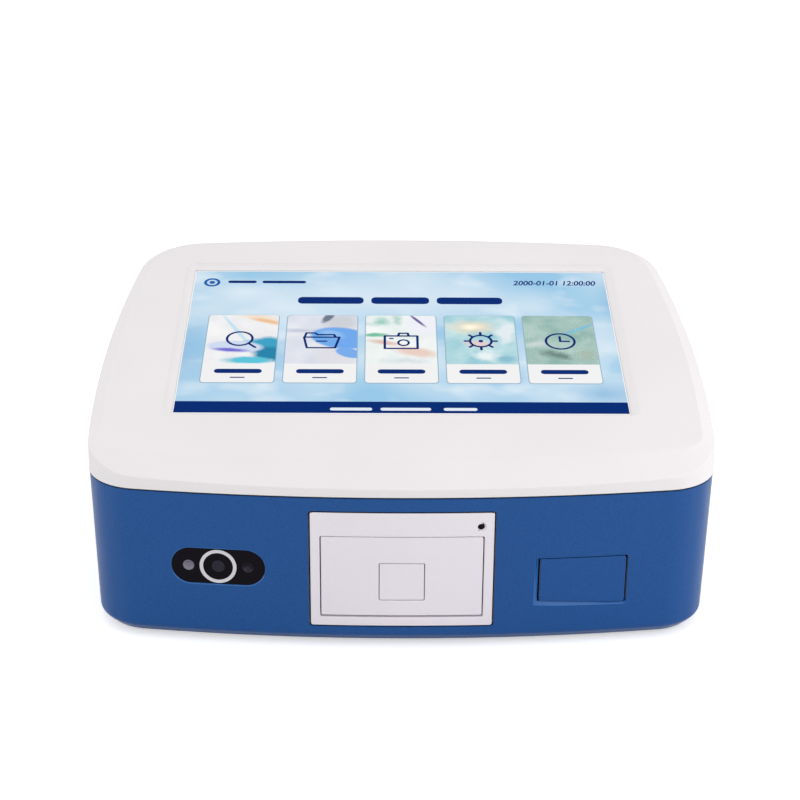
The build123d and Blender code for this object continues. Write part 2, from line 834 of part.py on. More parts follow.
# Guide and rails
with BuildPart() as tray_guide:
    with BuildSketch(front_plane(guide_front_y)):
        with Locations((0, chassis_top + guide_wall / 2)):
            Rectangle(2 * guide_outer_x + 2 * guide_foot, guide_wall)
        with Locations((0, (chassis_top + guide_top) / 2)):
            with GridLocations(2 * rail_outer_x + guide_wall, 0, 2, 1):
                Rectangle(guide_wall, guide_top - chassis_top)
    extrude(amount=-guide_length)
    with BuildSketch(front_plane(guide_front_y)):
        with Locations((0, (guide_z + screw_z + bearing_radius + bearing_post_top) / 2)):
            Rectangle(bearing_post_width, screw_z + bearing_radius + bearing_post_top - guide_z)
    extrude(amount=-bearing_post_thickness)
    with BuildSketch(front_plane(guide_front_y)):
        with Locations((0, screw_z)):
            Circle(bearing_radius)
    extrude(amount=-bearing_post_thickness, mode=Mode.SUBTRACT)
    with BuildSketch(Plane.YZ):
        with Locations((guide_y, (guide_z + tongue_z - rail_height / 2) / 2)):
            with GridLocations(guide_window_pitch, 0, guide_window_count, 1):
                SlotOverall(guide_window_length, guide_window_height)
    extrude(amount=2 * guide_outer_x, both=True, mode=Mode.SUBTRACT)
    with BuildSketch(Plane.XY.offset(chassis_top)):
        with Locations((0, guide_y)):
            with GridLocations(*guide_screw_spacing, 2, 2):
                Circle(m3_radius)
    extrude(amount=guide_wall, mode=Mode.SUBTRACT)
save(tray_guide.part, "tray_guide")

with BuildPart() as guide_screws:
    with BuildSketch(Plane.XY.offset(chassis_z)):
        with Locations((0, guide_y)):
            with GridLocations(*guide_screw_spacing, 2, 2):
                Circle(m3_radius)
    extrude(amount=chassis_thickness + guide_wall)
    with BuildSketch(Plane.XY.offset(guide_z)):
        with Locations((0, guide_y)):
            with GridLocations(*guide_screw_spacing, 2, 2):
                Circle(m3_head_radius)
    extrude(amount=m3_head_height)
save(guide_screws.part, "guide_screws")

for name, side in (("rail_left", -1), ("rail_right", 1)):
    with BuildPart() as rail:
        with BuildSketch(front_plane(guide_front_y)):
            with Locations((side * (rail_outer_x - rail_thickness / 2), tongue_z)):
                Rectangle(rail_thickness, rail_height)
            with Locations((0, tongue_z)):
                Rectangle(
                    tray_width + 2 * tongue_reach + 2 * rail_gap,
                    tongue_height + 2 * rail_gap,
                    mode=Mode.SUBTRACT,
                )
        extrude(amount=-guide_length)
    save(rail.part, name)

# Lead screw, nut, bearing and motor
motor_plate_y = guide_front_y + guide_length + panel_gap
motor_y = motor_plate_y + motor_plate_thickness

with BuildPart() as lead_screw:
    with BuildSketch(front_plane(guide_front_y)):
        with Locations((0, screw_z)):
            Circle(screw_radius)
    extrude(amount=-(motor_y + screw_in_motor - guide_front_y))
save(lead_screw.part, "lead_screw")

with BuildPart() as screw_nut:
    with BuildSketch(front_plane(tray_back_y)):
        with Locations((0, screw_z)):
            Circle(nut_radius)
    extrude(amount=nut_length)
    with BuildSketch(front_plane(tray_back_y)):
        with Locations((0, screw_z)):
            Circle(nut_flange_radius)
    extrude(amount=-nut_flange_thickness)
    with BuildSketch(front_plane(tray_back_y)):
        with Locations((0, screw_z)):
            Circle(screw_radius + screw_running_gap)
    extrude(amount=nut_length, both=True, mode=Mode.SUBTRACT)
save(screw_nut.part, "screw_nut")

with BuildPart() as screw_bearing:
    with BuildSketch(front_plane(guide_front_y)):
        with Locations((0, screw_z)):
            Circle(bearing_radius)
    extrude(amount=-bearing_post_thickness)
    with BuildSketch(front_plane(guide_front_y + bearing_post_thickness)):
        with Locations((0, screw_z)):
            Circle(bearing_flange_radius)
    extrude(amount=-bearing_flange_thickness)
    with BuildSketch(front_plane(guide_front_y)):
        with Locations((0, screw_z)):
            Circle(screw_radius + screw_running_gap)
    extrude(amount=2 * bearing_post_thickness, both=True, mode=Mode.SUBTRACT)
save(screw_bearing.part, "screw_bearing")

with BuildPart() as tray_motor:
    with BuildSketch(front_plane(motor_y)):
        with Locations((0, screw_z)):
            Rectangle(motor_size, motor_size)
    extrude(amount=-motor_length)
    chamfer(tray_motor.edges().filter_by(Axis.Y), motor_chamfer)
    with BuildSketch(front_plane(motor_y)):
        with Locations((0, screw_z)):
            Circle(motor_pilot_radius)
    extrude(amount=motor_pilot_height)
    with BuildSketch(front_plane(motor_y + screw_in_motor)):
        with Locations((0, screw_z)):
            Circle(screw_radius + screw_running_gap)
    extrude(amount=screw_in_motor + motor_pilot_height, mode=Mode.SUBTRACT)
save(tray_motor.part, "tray_motor")

with BuildPart() as motor_bracket:
    with BuildSketch(front_plane(motor_plate_y)):
        with Locations((0, chassis_top + motor_size / 2 + motor_plate_thickness)):
            Rectangle(motor_size + 2 * motor_plate_thickness, motor_size + 2 * motor_plate_thickness)
        with Locations((0, chassis_top + motor_plate_thickness / 2)):
            Rectangle(motor_size + 2 * motor_plate_foot, motor_plate_thickness)
        with Locations((0, screw_z)):
            Circle(motor_pilot_radius, mode=Mode.SUBTRACT)
    extrude(amount=-motor_plate_thickness)
    with BuildSketch(Plane.XY.offset(chassis_top)):
        with Locations((0, motor_plate_y + motor_plate_foot / 2)):
            with GridLocations(motor_size + motor_plate_foot + screw_clearance, 0, 2, 1):
                Rectangle(motor_plate_foot - screw_clearance, motor_plate_foot)
    extrude(amount=motor_plate_thickness)
save(motor_bracket.part, "motor_bracket")

# Optics over the tray
bridge_y = guide_front_y + bridge_from_guide + bridge_length / 2
head_bottom = tray_top + head_above_tray
head_middle_z = (head_bottom + guide_top) / 2

with BuildPart() as optic_bridge:
    with BuildSketch(Plane.XY.offset(guide_top)):
        with Locations((0, bridge_y)):
            Rectangle(2 * guide_outer_x, bridge_length)
            Circle(detector_radius, mode=Mode.SUBTRACT)
    extrude(amount=bridge_thickness)
save(optic_bridge.part, "optic_bridge")

with BuildPart() as optic_head:
    with BuildSketch(Plane.XY.offset(head_bottom)):
        with Locations((0, bridge_y)):
            Rectangle(head_width, head_length)
    extrude(amount=guide_top - head_bottom)
    with BuildSketch(Plane.XY.offset(head_bottom)):
        with Locations((0, bridge_y)):
            Circle(lens_radius)
    extrude(amount=guide_top - head_bottom, mode=Mode.SUBTRACT)
    with BuildSketch(Plane.YZ.offset(head_width / 2)):
        with Locations((bridge_y, head_middle_z)):
            Circle(uv_lamp_radius)
    extrude(amount=-uv_lamp_length, mode=Mode.SUBTRACT)
save(optic_head.part, "optic_head")

with BuildPart() as optic_lens:
    with BuildSketch(Plane.XY.offset(head_bottom)):
        with Locations((0, bridge_y)):
            Circle(lens_radius)
    extrude(amount=lens_height)
save(optic_lens.part, "optic_lens")

with BuildPart() as uv_lamp:
    with BuildSketch(Plane.YZ.offset(head_width / 2)):
        with Locations((bridge_y, head_middle_z)):
            Circle(uv_lamp_radius)
    extrude(amount=-uv_lamp_length)
save(uv_lamp.part, "uv_lamp")

with BuildPart() as detector:
    with BuildSketch(Plane.XY.offset(guide_top)):
        with Locations((0, bridge_y)):
            Circle(detector_radius)
    extrude(amount=detector_height)
save(detector.part, "detector")

# Code scanner window with its ring, lens, lamps and module
scanner_axis = Axis(scanner_plane.origin, scanner_plane.z_dir)

with BuildPart() as scanner_window:
    with BuildSketch(scanner_plane.offset(-window_back)):
        SlotOverall(window_width - 2 * window_gap, window_height - 2 * window_gap)
    extrude(amount=window_thickness)
    with BuildSketch(scanner_plane.offset(-window_sink - ring_depth)):
        Circle(ring_outer_radius)
        Circle(ring_inner_radius, mode=Mode.SUBTRACT)
    extrude(amount=ring_depth, mode=Mode.SUBTRACT)
    with BuildSketch(scanner_plane.offset(-window_back)):
        Circle(scanner_lens_radius)
        with GridLocations(2 * scanner_lamp_x, 0, 2, 1):
            Circle(scanner_lamp_radius)
    extrude(amount=window_thickness, mode=Mode.SUBTRACT)
save(scanner_window.part, "scanner_window")

with BuildPart() as scanner_ring:
    with BuildSketch(scanner_plane.offset(-window_sink - ring_depth)):
        Circle(ring_outer_radius)
        Circle(ring_inner_radius, mode=Mode.SUBTRACT)
    extrude(amount=ring_depth + ring_proud)
save(scanner_ring.part, "scanner_ring")

for name, x, radius in (
    ("scanner_lens", 0, scanner_lens_radius),
    ("scanner_lamp_left", -scanner_lamp_x, scanner_lamp_radius),
    ("scanner_lamp_right", scanner_lamp_x, scanner_lamp_radius),
):
    with BuildPart() as dome:
        with BuildSketch(scanner_plane.offset(-window_back)):
            with Locations((x, 0)):
                Circle(radius)
        extrude(amount=window_thickness + dome_rise)
        fillet(dome.faces().sort_by(scanner_axis)[-1].edges(), dome_shoulder * dome_rise)
    save(dome.part, name)

with BuildPart() as scanner_module:
    with BuildSketch(scanner_plane.offset(-module_front)):
        Rectangle(module_width, module_height)
    extrude(amount=-module_depth)
save(scanner_module.part, "scanner_module")

# Port flap, its hinge pin and the bay behind it
bay_back = tub_wall + bay_depth

with BuildPart() as port_flap:
    extrude(flap_face(flap_plane.offset(-flap_thickness), 0, 0, 0, 0, 0), amount=2 * flap_thickness)
    add(drafted_body(), mode=Mode.INTERSECT)
    with BuildSketch(hinge_plane):
        Circle(hinge_radius + hinge_running_gap)
    extrude(amount=flap_height, both=True, mode=Mode.SUBTRACT)
save(port_flap.part, "port_flap")

with BuildPart() as flap_hinge_pin:
    with BuildSketch(hinge_plane):
        Circle(hinge_radius)
    extrude(amount=hinge_half_length, both=True)
save(flap_hinge_pin.part, "flap_hinge_pin")

bay_half_width = flap_width / 2 + flap_hinge_gap + bay_margin
bay_half_height = opening_half_height + bay_margin
pillar_x = usb_pitch / 2 + usb_width / 2 + pillar_radius + screw_clearance
usb_front = bay_back - bay_wall - usb_reach
usb_back = usb_front + usb_length

with BuildPart() as port_bay:
    with BuildSketch(flap_plane.offset(-bay_back)):
        Rectangle(2 * (bay_half_width + bay_wall), 2 * (bay_half_height + bay_wall))
    extrude(amount=bay_back)
    add(drafted_body(tub_wall + bay_clearance), mode=Mode.INTERSECT)
    with BuildSketch(flap_plane.offset(bay_wall - bay_back)):
        Rectangle(2 * bay_half_width, 2 * bay_half_height)
    extrude(amount=bay_back, mode=Mode.SUBTRACT)
    with BuildSketch(flap_plane.offset(-usb_back)):
        with GridLocations(2 * pillar_x, 0, 2, 1):
            Circle(pillar_radius)
    extrude(amount=usb_back - bay_back)
    with BuildSketch(flap_plane.offset(-bay_back)):
        with GridLocations(usb_pitch, 0, 2, 1):
            Rectangle(usb_width, usb_height)
    extrude(amount=bay_wall, mode=Mode.SUBTRACT)
save(port_bay.part, "port_bay")

for name, side in (("usb_socket_left", -1), ("usb_socket_right", 1)):
    with BuildPart() as socket:
        with BuildSketch(flap_plane.offset(-usb_back)):
            with Locations((side * usb_pitch / 2, 0)):
                Rectangle(usb_width, usb_height)
        extrude(amount=usb_length)
        with BuildSketch(flap_plane.offset(-usb_front)):
            with Locations((side * usb_pitch / 2, 0)):
                Rectangle(usb_width - 2 * usb_skin, usb_height - 2 * usb_skin)
            with Locations((side * usb_pitch / 2, (usb_height - usb_tongue) / 2 - 2 * usb_skin)):
                Rectangle(usb_width - 4 * usb_skin, usb_tongue, mode=Mode.SUBTRACT)
        extrude(amount=-usb_port_depth, mode=Mode.SUBTRACT)
    save(socket.part, name)

with BuildPart() as port_board:
    with BuildSketch(flap_plane.offset(-usb_back)):
        Rectangle(port_board_width, port_board_height)
    extrude(amount=-board_thickness)
save(port_board.part, "port_board")

# Display stack under the plateau
glass_depth = cover_wall + glass_thickness
bracket_depth = screen_boss_depth + bracket_thickness
board_depth = bracket_depth + standoff_height
standoff_spacing = (main_board_width - 2 * standoff_edge, main_board_height - 2 * standoff_edge)

with BuildPart() as touch_glass:
    with BuildSketch(screen_plane.offset(-glass_depth)):
        Rectangle(active_width + 2 * glass_margin, active_height + 2 * glass_margin)
    extrude(amount=glass_thickness)
save(touch_glass.part, "touch_glass")

with BuildPart() as lcd_panel:
    with BuildSketch(screen_plane.offset(-screen_boss_depth)):
        Rectangle(active_width + glass_margin, active_height + glass_margin)
    extrude(amount=lcd_thickness)
save(lcd_panel.part, "lcd_panel")

with BuildPart() as screen_bracket:
    with BuildSketch(screen_plane.offset(-bracket_depth)):
        Rectangle(2 * (screen_boss_x + screen_boss_edge), active_height)
        with GridLocations(*screen_bosses, 2, 2):
            Circle(m3_radius, mode=Mode.SUBTRACT)
    extrude(amount=bracket_thickness)
save(screen_bracket.part, "screen_bracket")

with BuildPart() as screen_screws:
    with BuildSketch(screen_plane.offset(-bracket_depth)):
        with GridLocations(*screen_bosses, 2, 2):
            Circle(m3_radius)
    extrude(amount=bracket_thickness + lcd_thickness)
    with BuildSketch(screen_plane.offset(-bracket_depth)):
        with GridLocations(*screen_bosses, 2, 2):
            Circle(m3_head_radius)
    extrude(amount=-m3_head_height)
save(screen_screws.part, "screen_screws")

with BuildPart() as board_standoffs:
    with BuildSketch(screen_plane.offset(-board_depth)):
        with GridLocations(*standoff_spacing, 2, 2):
            Circle(standoff_radius)
    extrude(amount=standoff_height)
save(board_standoffs.part, "board_standoffs")

with BuildPart() as main_board:
    with BuildSketch(screen_plane.offset(-board_depth)):
        Rectangle(main_board_width, main_board_height)
    extrude(amount=-board_thickness)
    with BuildSketch(screen_plane.offset(-board_depth - board_thickness)):
        Rectangle(heat_sink_size, heat_sink_size)
    extrude(amount=-heat_sink_height)
save(main_board.part, "main_board")

# Rear panel with the power switch, power inlet and network socket
switch_plane = rear_plane(rear_switch_x, rear_y, rear_centre_z)
inlet_plane = rear_plane(rear_inlet_x, rear_y, rear_centre_z)
lan_plane = rear_plane(rear_lan_x, rear_y, rear_centre_z)
rocker_reach = hypot(rocker_half_height, rocker_rise)
rocker_pivot_y = rear_y + switch_bezel_thickness - rocker_pivot_depth
trunnion_half_length = switch_body_width / 2 - rocker_gap

with BuildPart() as rear_panel:
    with BuildSketch(rear_plane(0, rear_y, rear_centre_z)):
        Rectangle(rear_opening_width + 2 * rear_panel_margin, rear_opening_height + 2 * rear_panel_margin)
    extrude(amount=-rear_panel_thickness)
    with BuildSketch(switch_plane):
        Rectangle(switch_body_width, switch_body_height)
    extrude(amount=-rear_panel_thickness, mode=Mode.SUBTRACT)
    with BuildSketch(inlet_plane):
        Circle(inlet_body_radius)
    extrude(amount=-rear_panel_thickness, mode=Mode.SUBTRACT)
    with BuildSketch(lan_plane):
        Rectangle(lan_width, lan_height)
    extrude(amount=-rear_panel_thickness, mode=Mode.SUBTRACT)
save(rear_panel.part, "rear_panel")

with BuildPart() as power_switch:
    with BuildSketch(switch_plane):
        Rectangle(switch_bezel_width, switch_bezel_height)
    extrude(amount=switch_bezel_thickness)
    with BuildSketch(switch_plane):
        Rectangle(switch_body_width, switch_body_height)
    extrude(amount=-switch_body_depth)
    with BuildSketch(switch_plane.offset(switch_bezel_thickness)):
        Rectangle(rocker_width + 2 * rocker_gap, 2 * (rocker_reach + rocker_gap))
    extrude(amount=-(rocker_pivot_depth + rocker_root + rocker_rise), mode=Mode.SUBTRACT)
    with BuildSketch(Plane.YZ.offset(rear_switch_x)):
        with Locations((rocker_pivot_y, rear_centre_z)):
            Circle(trunnion_radius + hinge_running_gap)
    extrude(amount=trunnion_half_length + hinge_running_gap, both=True, mode=Mode.SUBTRACT)
save(power_switch.part, "power_switch")

rocker_plane = Plane(
    origin=(rear_switch_x, rocker_pivot_y, rear_centre_z),
    x_dir=(0, sin(radians(rocker_swing)), cos(radians(rocker_swing))),
    z_dir=(-1, 0, 0),
)
with BuildPart() as power_rocker:
    with BuildSketch(rocker_plane):
        with BuildLine():
            Polyline(
                (-rocker_half_height, rocker_rise),
                (0, rocker_dip),
                (rocker_half_height, rocker_rise),
                (rocker_half_height - rocker_dip, -rocker_root),
                (-rocker_half_height + rocker_dip, -rocker_root),
                close=True,
            )
        make_face()
    extrude(amount=rocker_width / 2, both=True)
    with BuildSketch(rocker_plane):
        Circle(trunnion_radius)
    extrude(amount=trunnion_half_length, both=True)
save(power_rocker.part, "power_rocker")

with BuildPart() as power_inlet:
    with BuildSketch(inlet_plane):
        Circle(inlet_nut_radius)
    extrude(amount=inlet_nut_thickness)
    with BuildSketch(inlet_plane):
        Circle(inlet_body_radius)
    extrude(amount=-inlet_body_length)
    with BuildSketch(inlet_plane.offset(inlet_nut_thickness)):
        Circle(inlet_bore_radius)
        Circle(inlet_pin_radius, mode=Mode.SUBTRACT)
    extrude(amount=-inlet_bore_depth, mode=Mode.SUBTRACT)
save(power_inlet.part, "power_inlet")

with BuildPart() as lan_socket:
    with BuildSketch(lan_plane.offset(rear_panel_thickness)):
        Rectangle(lan_width, lan_height)
    extrude(amount=-lan_length)
    with BuildSketch(lan_plane.offset(rear_panel_thickness)):
        Rectangle(lan_port_width, lan_port_height)
    extrude(amount=-lan_port_depth, mode=Mode.SUBTRACT)
save(lan_socket.part, "lan_socket")
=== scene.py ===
import json
from math import atan2, cos, pi, radians, sin

import bmesh
import bpy
from mathutils import Matrix, Vector


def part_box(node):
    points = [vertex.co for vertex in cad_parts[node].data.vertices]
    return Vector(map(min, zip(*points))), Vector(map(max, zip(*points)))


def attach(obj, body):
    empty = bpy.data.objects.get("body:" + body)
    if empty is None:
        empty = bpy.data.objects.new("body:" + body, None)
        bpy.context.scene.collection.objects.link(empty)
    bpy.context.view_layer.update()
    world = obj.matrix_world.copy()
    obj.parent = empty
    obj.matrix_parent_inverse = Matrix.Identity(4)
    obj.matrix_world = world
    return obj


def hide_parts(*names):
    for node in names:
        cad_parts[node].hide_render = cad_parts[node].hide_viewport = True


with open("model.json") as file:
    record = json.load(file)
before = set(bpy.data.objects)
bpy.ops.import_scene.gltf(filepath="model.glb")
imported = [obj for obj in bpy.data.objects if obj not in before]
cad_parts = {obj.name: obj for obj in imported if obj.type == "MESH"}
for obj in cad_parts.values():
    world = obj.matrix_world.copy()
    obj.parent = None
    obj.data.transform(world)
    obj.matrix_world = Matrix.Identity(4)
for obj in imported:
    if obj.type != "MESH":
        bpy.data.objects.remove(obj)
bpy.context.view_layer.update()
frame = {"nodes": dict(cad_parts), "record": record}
nodes = frame["nodes"]
slot_of = {part["node"]: part["material_slot"] for part in frame["record"]["subparts"]}

MM = 0.001
BLACK = (0.0, 0.0, 0.0, 1.0)
PAPER_WHITE = (1.0, 1.0, 1.0, 1.0)

# Camera, read from the photograph's own geometry
CAMERA_PLACE = (-0.01001, -0.87013, 0.44314)
CAMERA_PITCH = 22.674
CAMERA_YAW = -0.645
CAMERA_ROLL = 0.438
CAMERA_LENS = 84.18

# Studio: each soft box's name, place, width and height in metres, and power in watts
LAMP_AIM = (0.0, 0.0, 0.06)
SOFT_BOXES = (
    ("key_box", (0.62, -0.34, 0.42), (0.45, 0.45), 0.95),
    ("rim_box", (0.75, 0.42, 0.14), (0.3, 0.2), 0.4),
    ("side_box", (0.8, -0.16, 0.06), (0.3, 0.2), 0.6),
    ("left_box", (-0.6, -0.16, 0.22), (0.35, 0.3), 0.3),
    ("front_box", (0.25, -0.85, 0.75), (0.5, 0.5), 0.45),
    ("top_box", (-0.3, 0.35, 1.25), (1.2, 1.2), 0.65),
)
ROOM_LIGHT = 0.88
FLOOR_REACH = 3.0
FLOOR_LIFT = 0.5

# Front wall: which way the bowed and drafted wall faces at the scanner and at the flap
SCANNER_TURN = radians(-5.87)
FLAP_TURN = radians(5.81)
WALL_LEAN = radians(1.2)

# CAD copies: points that merge, faces that count as flat, and edges that count as sharp
MERGE_REACH = 0.001 * MM
FLAT_ANGLE = radians(0.6)
SHARP_ANGLE = radians(28.0)

# Housing, in millimetres: where the worked edges lie and how wide their roundings are
FOOT_LINE = (5.8, 7.2)
FLAP_MOUTH = (26.0, 17.0)
FLAP_BEVEL_FOOT = 0.9
SLOT_MOUTH = (24.0, 11.0)
SLOT_RIM_FOOT = 0.6
DISH_REACH = 4.0
# How far in from the frame's edges and how far behind its front the frame's faces take painted shade
FRAME_GAP_REACH = 3.2
FRAME_GAP_DEPTH = 1.2
FOOT_ROUNDING = 1.5
SLOT_ROUNDING = 0.5
MOUTH_ROUNDING = 0.25
COVER_ROUNDING = 0.35
FRAME_ROUNDING = 0.5
DRAWER_ROUNDING = 0.35
PAD_ROUNDING = 0.25
FLAP_ROUNDING = 0.3

# Status lamp and scanner, in millimetres; the scanner's pieces reach that far behind and
# before the middle of their CAD boxes, and have a radius and a bowl of that depth
LAMP_RADIUS = 1.6
LAMP_RISE = 0.7
SCANNER_BACK = -1.35
SCANNER_FRONT = 0.65
SCANNER_BOWLS = (
    ("scanner_lens", 3.15, 0.2), ("scanner_lamp_left", 2.7, 1.4), ("scanner_lamp_right", 2.7, 1.8),
)

# Display: the plane it lies on and the size that shows in the window, in millimetres
PLATEAU_TILT = radians(11.0)
GLASS_THICKNESS = 1.1
SHOWN_WIDTH = 217.0
SHOWN_HEIGHT = 135.6
LAYER = 0.02
EDGE_LINE = 0.45
NEAR_EDGE_LINE = 1.0

# Display picture: places from its middle, and bars as their middle and width across
FOOTER_TOP = -57.0
FOOTER_BARS = ((-24.0, 20.0), (2.0, 24.0), (28.0, 16.0))
FOOTER_BAR_UP = -63.4
TITLE_BARS = ((-36.0, 34.0), (0.0, 30.0), (36.0, 34.0))
TITLE_UP = 37.6
HEADING_BARS = ((-83.0, 15.0), (-61.0, 23.0))
HEADING_UP = 56.4
HOME_PLACE = (-98.9, 55.7)
CLOCK_DIGITS = "2000-01-01 12:00:00"
CLOCK_PLACE = (81.4, 56.2)
CLOCK_SIZE = (43.6, 4.8)
CARD_SIZE = (35.5, 63.0)
CARD_MIDDLE = -9.0
CARD_CORNER = 1.8
CARD_EDGE = 0.9
CARD_PLACES = (-79.8, -39.7, 0.2, 40.2, 80.1)
PICTURE_HEIGHT = 46.0
PICTURE_MIDDLE = CARD_MIDDLE + (CARD_SIZE[1] - PICTURE_HEIGHT) / 2
LABEL_UP = -30.4
LABEL_SIZE = (23.4, 3.8)
UNDERLINE_UP = -36.1
UNDERLINE_SIZE = (7.3, 0.9)
ICON_HEIGHT = -2.0


# ---------------------------------------------------------------- finishes


def linear(red, green, blue):
    """Linear colour of an 8-bit screen colour."""
    def channel(value):
        value /= 255
        return value / 12.92 if value <= 0.04045 else ((value + 0.055) / 1.055) ** 2.4
    return (channel(red), channel(green), channel(blue), 1.0)


def blank(name, sockets):
    """A new material, its node tree, its shader and the object's own coordinates."""
    made = bpy.data.materials.new(name)
    made.use_nodes = True
    tree = made.node_tree
    shader = tree.nodes["Principled BSDF"]
    for socket, value in sockets.items():
        shader.inputs[socket].default_value = value
    place = tree.nodes.new("ShaderNodeTexCoord").outputs["Object"]
    return made, tree, shader, place


def stretched(tree, vector, stretch):
    """Coordinates scaled along each axis, for a pattern with long lines."""
    node = tree.nodes.new("ShaderNodeMapping")
    node.inputs["Scale"].default_value = stretch
    tree.links.new(vector, node.inputs["Vector"])
    return node.outputs["Vector"]


def measured_from(tree, vector, point, turn=(0.0, 0.0, 0.0), unit=(1.0, 1.0, 1.0)):
    """Coordinates measured from a point along turned axes, in that unit on each axis."""
    node = tree.nodes.new("ShaderNodeMapping")
    node.vector_type = "TEXTURE"
    node.inputs["Location"].default_value = point
    node.inputs["Rotation"].default_value = turn
    node.inputs["Scale"].default_value = unit
    tree.links.new(vector, node.inputs["Vector"])
    return node.outputs["Vector"]


def noise(tree, vector, scale, detail=2.0, roughness=0.5):
    """Soft noise, from 0 to 1."""
    node = tree.nodes.new("ShaderNodeTexNoise")
    node.inputs["Scale"].default_value = scale
    node.inputs["Detail"].default_value = detail
    node.inputs["Roughness"].default_value = roughness
    tree.links.new(vector, node.inputs["Vector"])
    return node.outputs["Fac"]


def spread(tree, value, low, high, into_low=0.0, into_high=1.0):
    """A value spread from one span to another."""
    node = tree.nodes.new("ShaderNodeMapRange")
    ends = {"From Min": low, "From Max": high, "To Min": into_low, "To Max": into_high}
    for socket, number in ends.items():
        node.inputs[socket].default_value = number
    tree.links.new(value, node.inputs["Value"])
    return node.outputs["Result"]


def feed(tree, socket, value):
    """Sets a socket to a value, or links it to another node's output."""
    if isinstance(value, bpy.types.NodeSocket):
        tree.links.new(value, socket)
    else:
        socket.default_value = value


def between(tree, share, first, second):
    """Colour at that share of the way from the first to the second, each of them a value or an output."""
    node = tree.nodes.new("ShaderNodeMix")
    node.data_type = "RGBA"
    feed(tree, node.inputs["Factor"], share)
    feed(tree, node.inputs[6], first)
    feed(tree, node.inputs[7], second)
    return node.outputs[2]


def reckoned(tree, operation, first, second):
    """Number worked out from two, each of them a value or an output."""
    node = tree.nodes.new("ShaderNodeMath")
    node.operation = operation
    feed(tree, node.inputs[0], first)
    feed(tree, node.inputs[1], second)
    return node.outputs[0]


def relief(tree, shader, height, depth, edge=0.0):
    """Bump of that depth in metres, over edges rounded by that radius in millimetres."""
    node = tree.nodes.new("ShaderNodeBump")
    node.inputs["Distance"].default_value = depth
    tree.links.new(height, node.inputs["Height"])
    tree.links.new(node.outputs["Normal"], shader.inputs["Normal"])
    if edge:
        rounding = tree.nodes.new("ShaderNodeBevel")
        rounding.samples = 6
        rounding.inputs["Radius"].default_value = edge * MM
        tree.links.new(rounding.outputs["Normal"], node.inputs["Normal"])


def shaded(colour, change):
    """A colour made lighter or darker by a share."""
    return tuple(min(1.0, channel * (1 + change)) for channel in colour[:3]) + (1.0,)


FLOW_DRIFT = 0.03


def moulded(name, colour, roughness, grain=0.5, depth=0.02, mottle=0.05, **sockets):
    """Moulded plastic with a spark-eroded grain, pitch and depth in millimetres, and faint flow clouds."""
    made, tree, shader, place = blank(name, sockets)
    pits = noise(tree, place, 1 / (grain * MM), 3.0, 0.6)
    clouds = noise(tree, place, 14.0, 2.0)
    base = between(tree, spread(tree, pits, 0.3, 0.7), shaded(colour, -mottle), shaded(colour, mottle))
    drift = spread(tree, clouds, 0.35, 0.65)
    drifted = between(tree, drift, shaded(colour, -FLOW_DRIFT), shaded(colour, FLOW_DRIFT))
    tree.links.new(between(tree, 0.5, base, drifted), shader.inputs["Base Color"])
    gloss = spread(tree, clouds, 0.3, 0.7, roughness - 0.04, roughness + 0.04)
    tree.links.new(gloss, shader.inputs["Roughness"])
    relief(tree, shader, pits, depth * MM, 0.3)
    return made


def glossy(name, colour, roughness=0.12, haze=0.05, **sockets):
    """Smooth glossy plastic or glass with faint handling haze in its gloss."""
    made, tree, shader, place = blank(name, sockets)
    smears = noise(tree, stretched(tree, place, (1.0, 1.0, 2.5)), 90.0, 4.0, 0.6)
    base = between(tree, smears, shaded(colour, -haze), shaded(colour, haze))
    tree.links.new(base, shader.inputs["Base Color"])
    gloss = spread(tree, smears, 0.35, 0.75, roughness * 0.7, roughness * 1.5)
    tree.links.new(gloss, shader.inputs["Roughness"])
    ripple = noise(tree, place, 35.0, 1.0)
    relief(tree, shader, ripple, 0.004 * MM, 0.15)
    return made


def metal(name, colour, roughness, stretch=(1.0, 1.0, 1.0), pitch=0.4, depth=0.004, **sockets):
    """Metal with drawn or ground lines along the direction that stretch leaves long."""
    made, tree, shader, place = blank(name, {"Metallic": 1.0, **sockets})
    lines = noise(tree, stretched(tree, place, stretch), 1 / (pitch * MM), 3.0, 0.6)
    stains = noise(tree, place, 40.0, 3.0)
    base = between(tree, spread(tree, stains, 0.3, 0.7), shaded(colour, -0.08), shaded(colour, 0.05))
    tree.links.new(base, shader.inputs["Base Color"])
    gloss = spread(tree, lines, 0.3, 0.7, roughness - 0.07, roughness + 0.09)
    tree.links.new(gloss, shader.inputs["Roughness"])
    relief(tree, shader, lines, depth * MM, 0.15)
    return made


def board(name):
    """Green solder mask over copper tracks, with bare pads."""
    made, tree, shader, place = blank(name, {"Specular IOR Level": 0.6})
    grid = tree.nodes.new("ShaderNodeTexBrick")
    grid.inputs["Scale"].default_value = 90.0
    grid.inputs["Mortar Size"].default_value = 0.03
    grid.inputs["Color1"].default_value = linear(14, 84, 52)
    grid.inputs["Color2"].default_value = linear(20, 98, 62)
    grid.inputs["Mortar"].default_value = linear(60, 130, 84)
    tree.links.new(place, grid.inputs["Vector"])
    cells = tree.nodes.new("ShaderNodeTexVoronoi")
    cells.inputs["Scale"].default_value = 260.0
    tree.links.new(place, cells.inputs["Vector"])
    pads = spread(tree, cells.outputs["Distance"], 0.12, 0.16, 1.0, 0.0)
    base = between(tree, pads, grid.outputs["Color"], linear(190, 192, 188))
    tree.links.new(base, shader.inputs["Base Color"])
    tree.links.new(spread(tree, pads, 0.0, 1.0, 0.35, 0.25), shader.inputs["Roughness"])
    relief(tree, shader, grid.outputs["Fac"], 0.02 * MM)
    return made


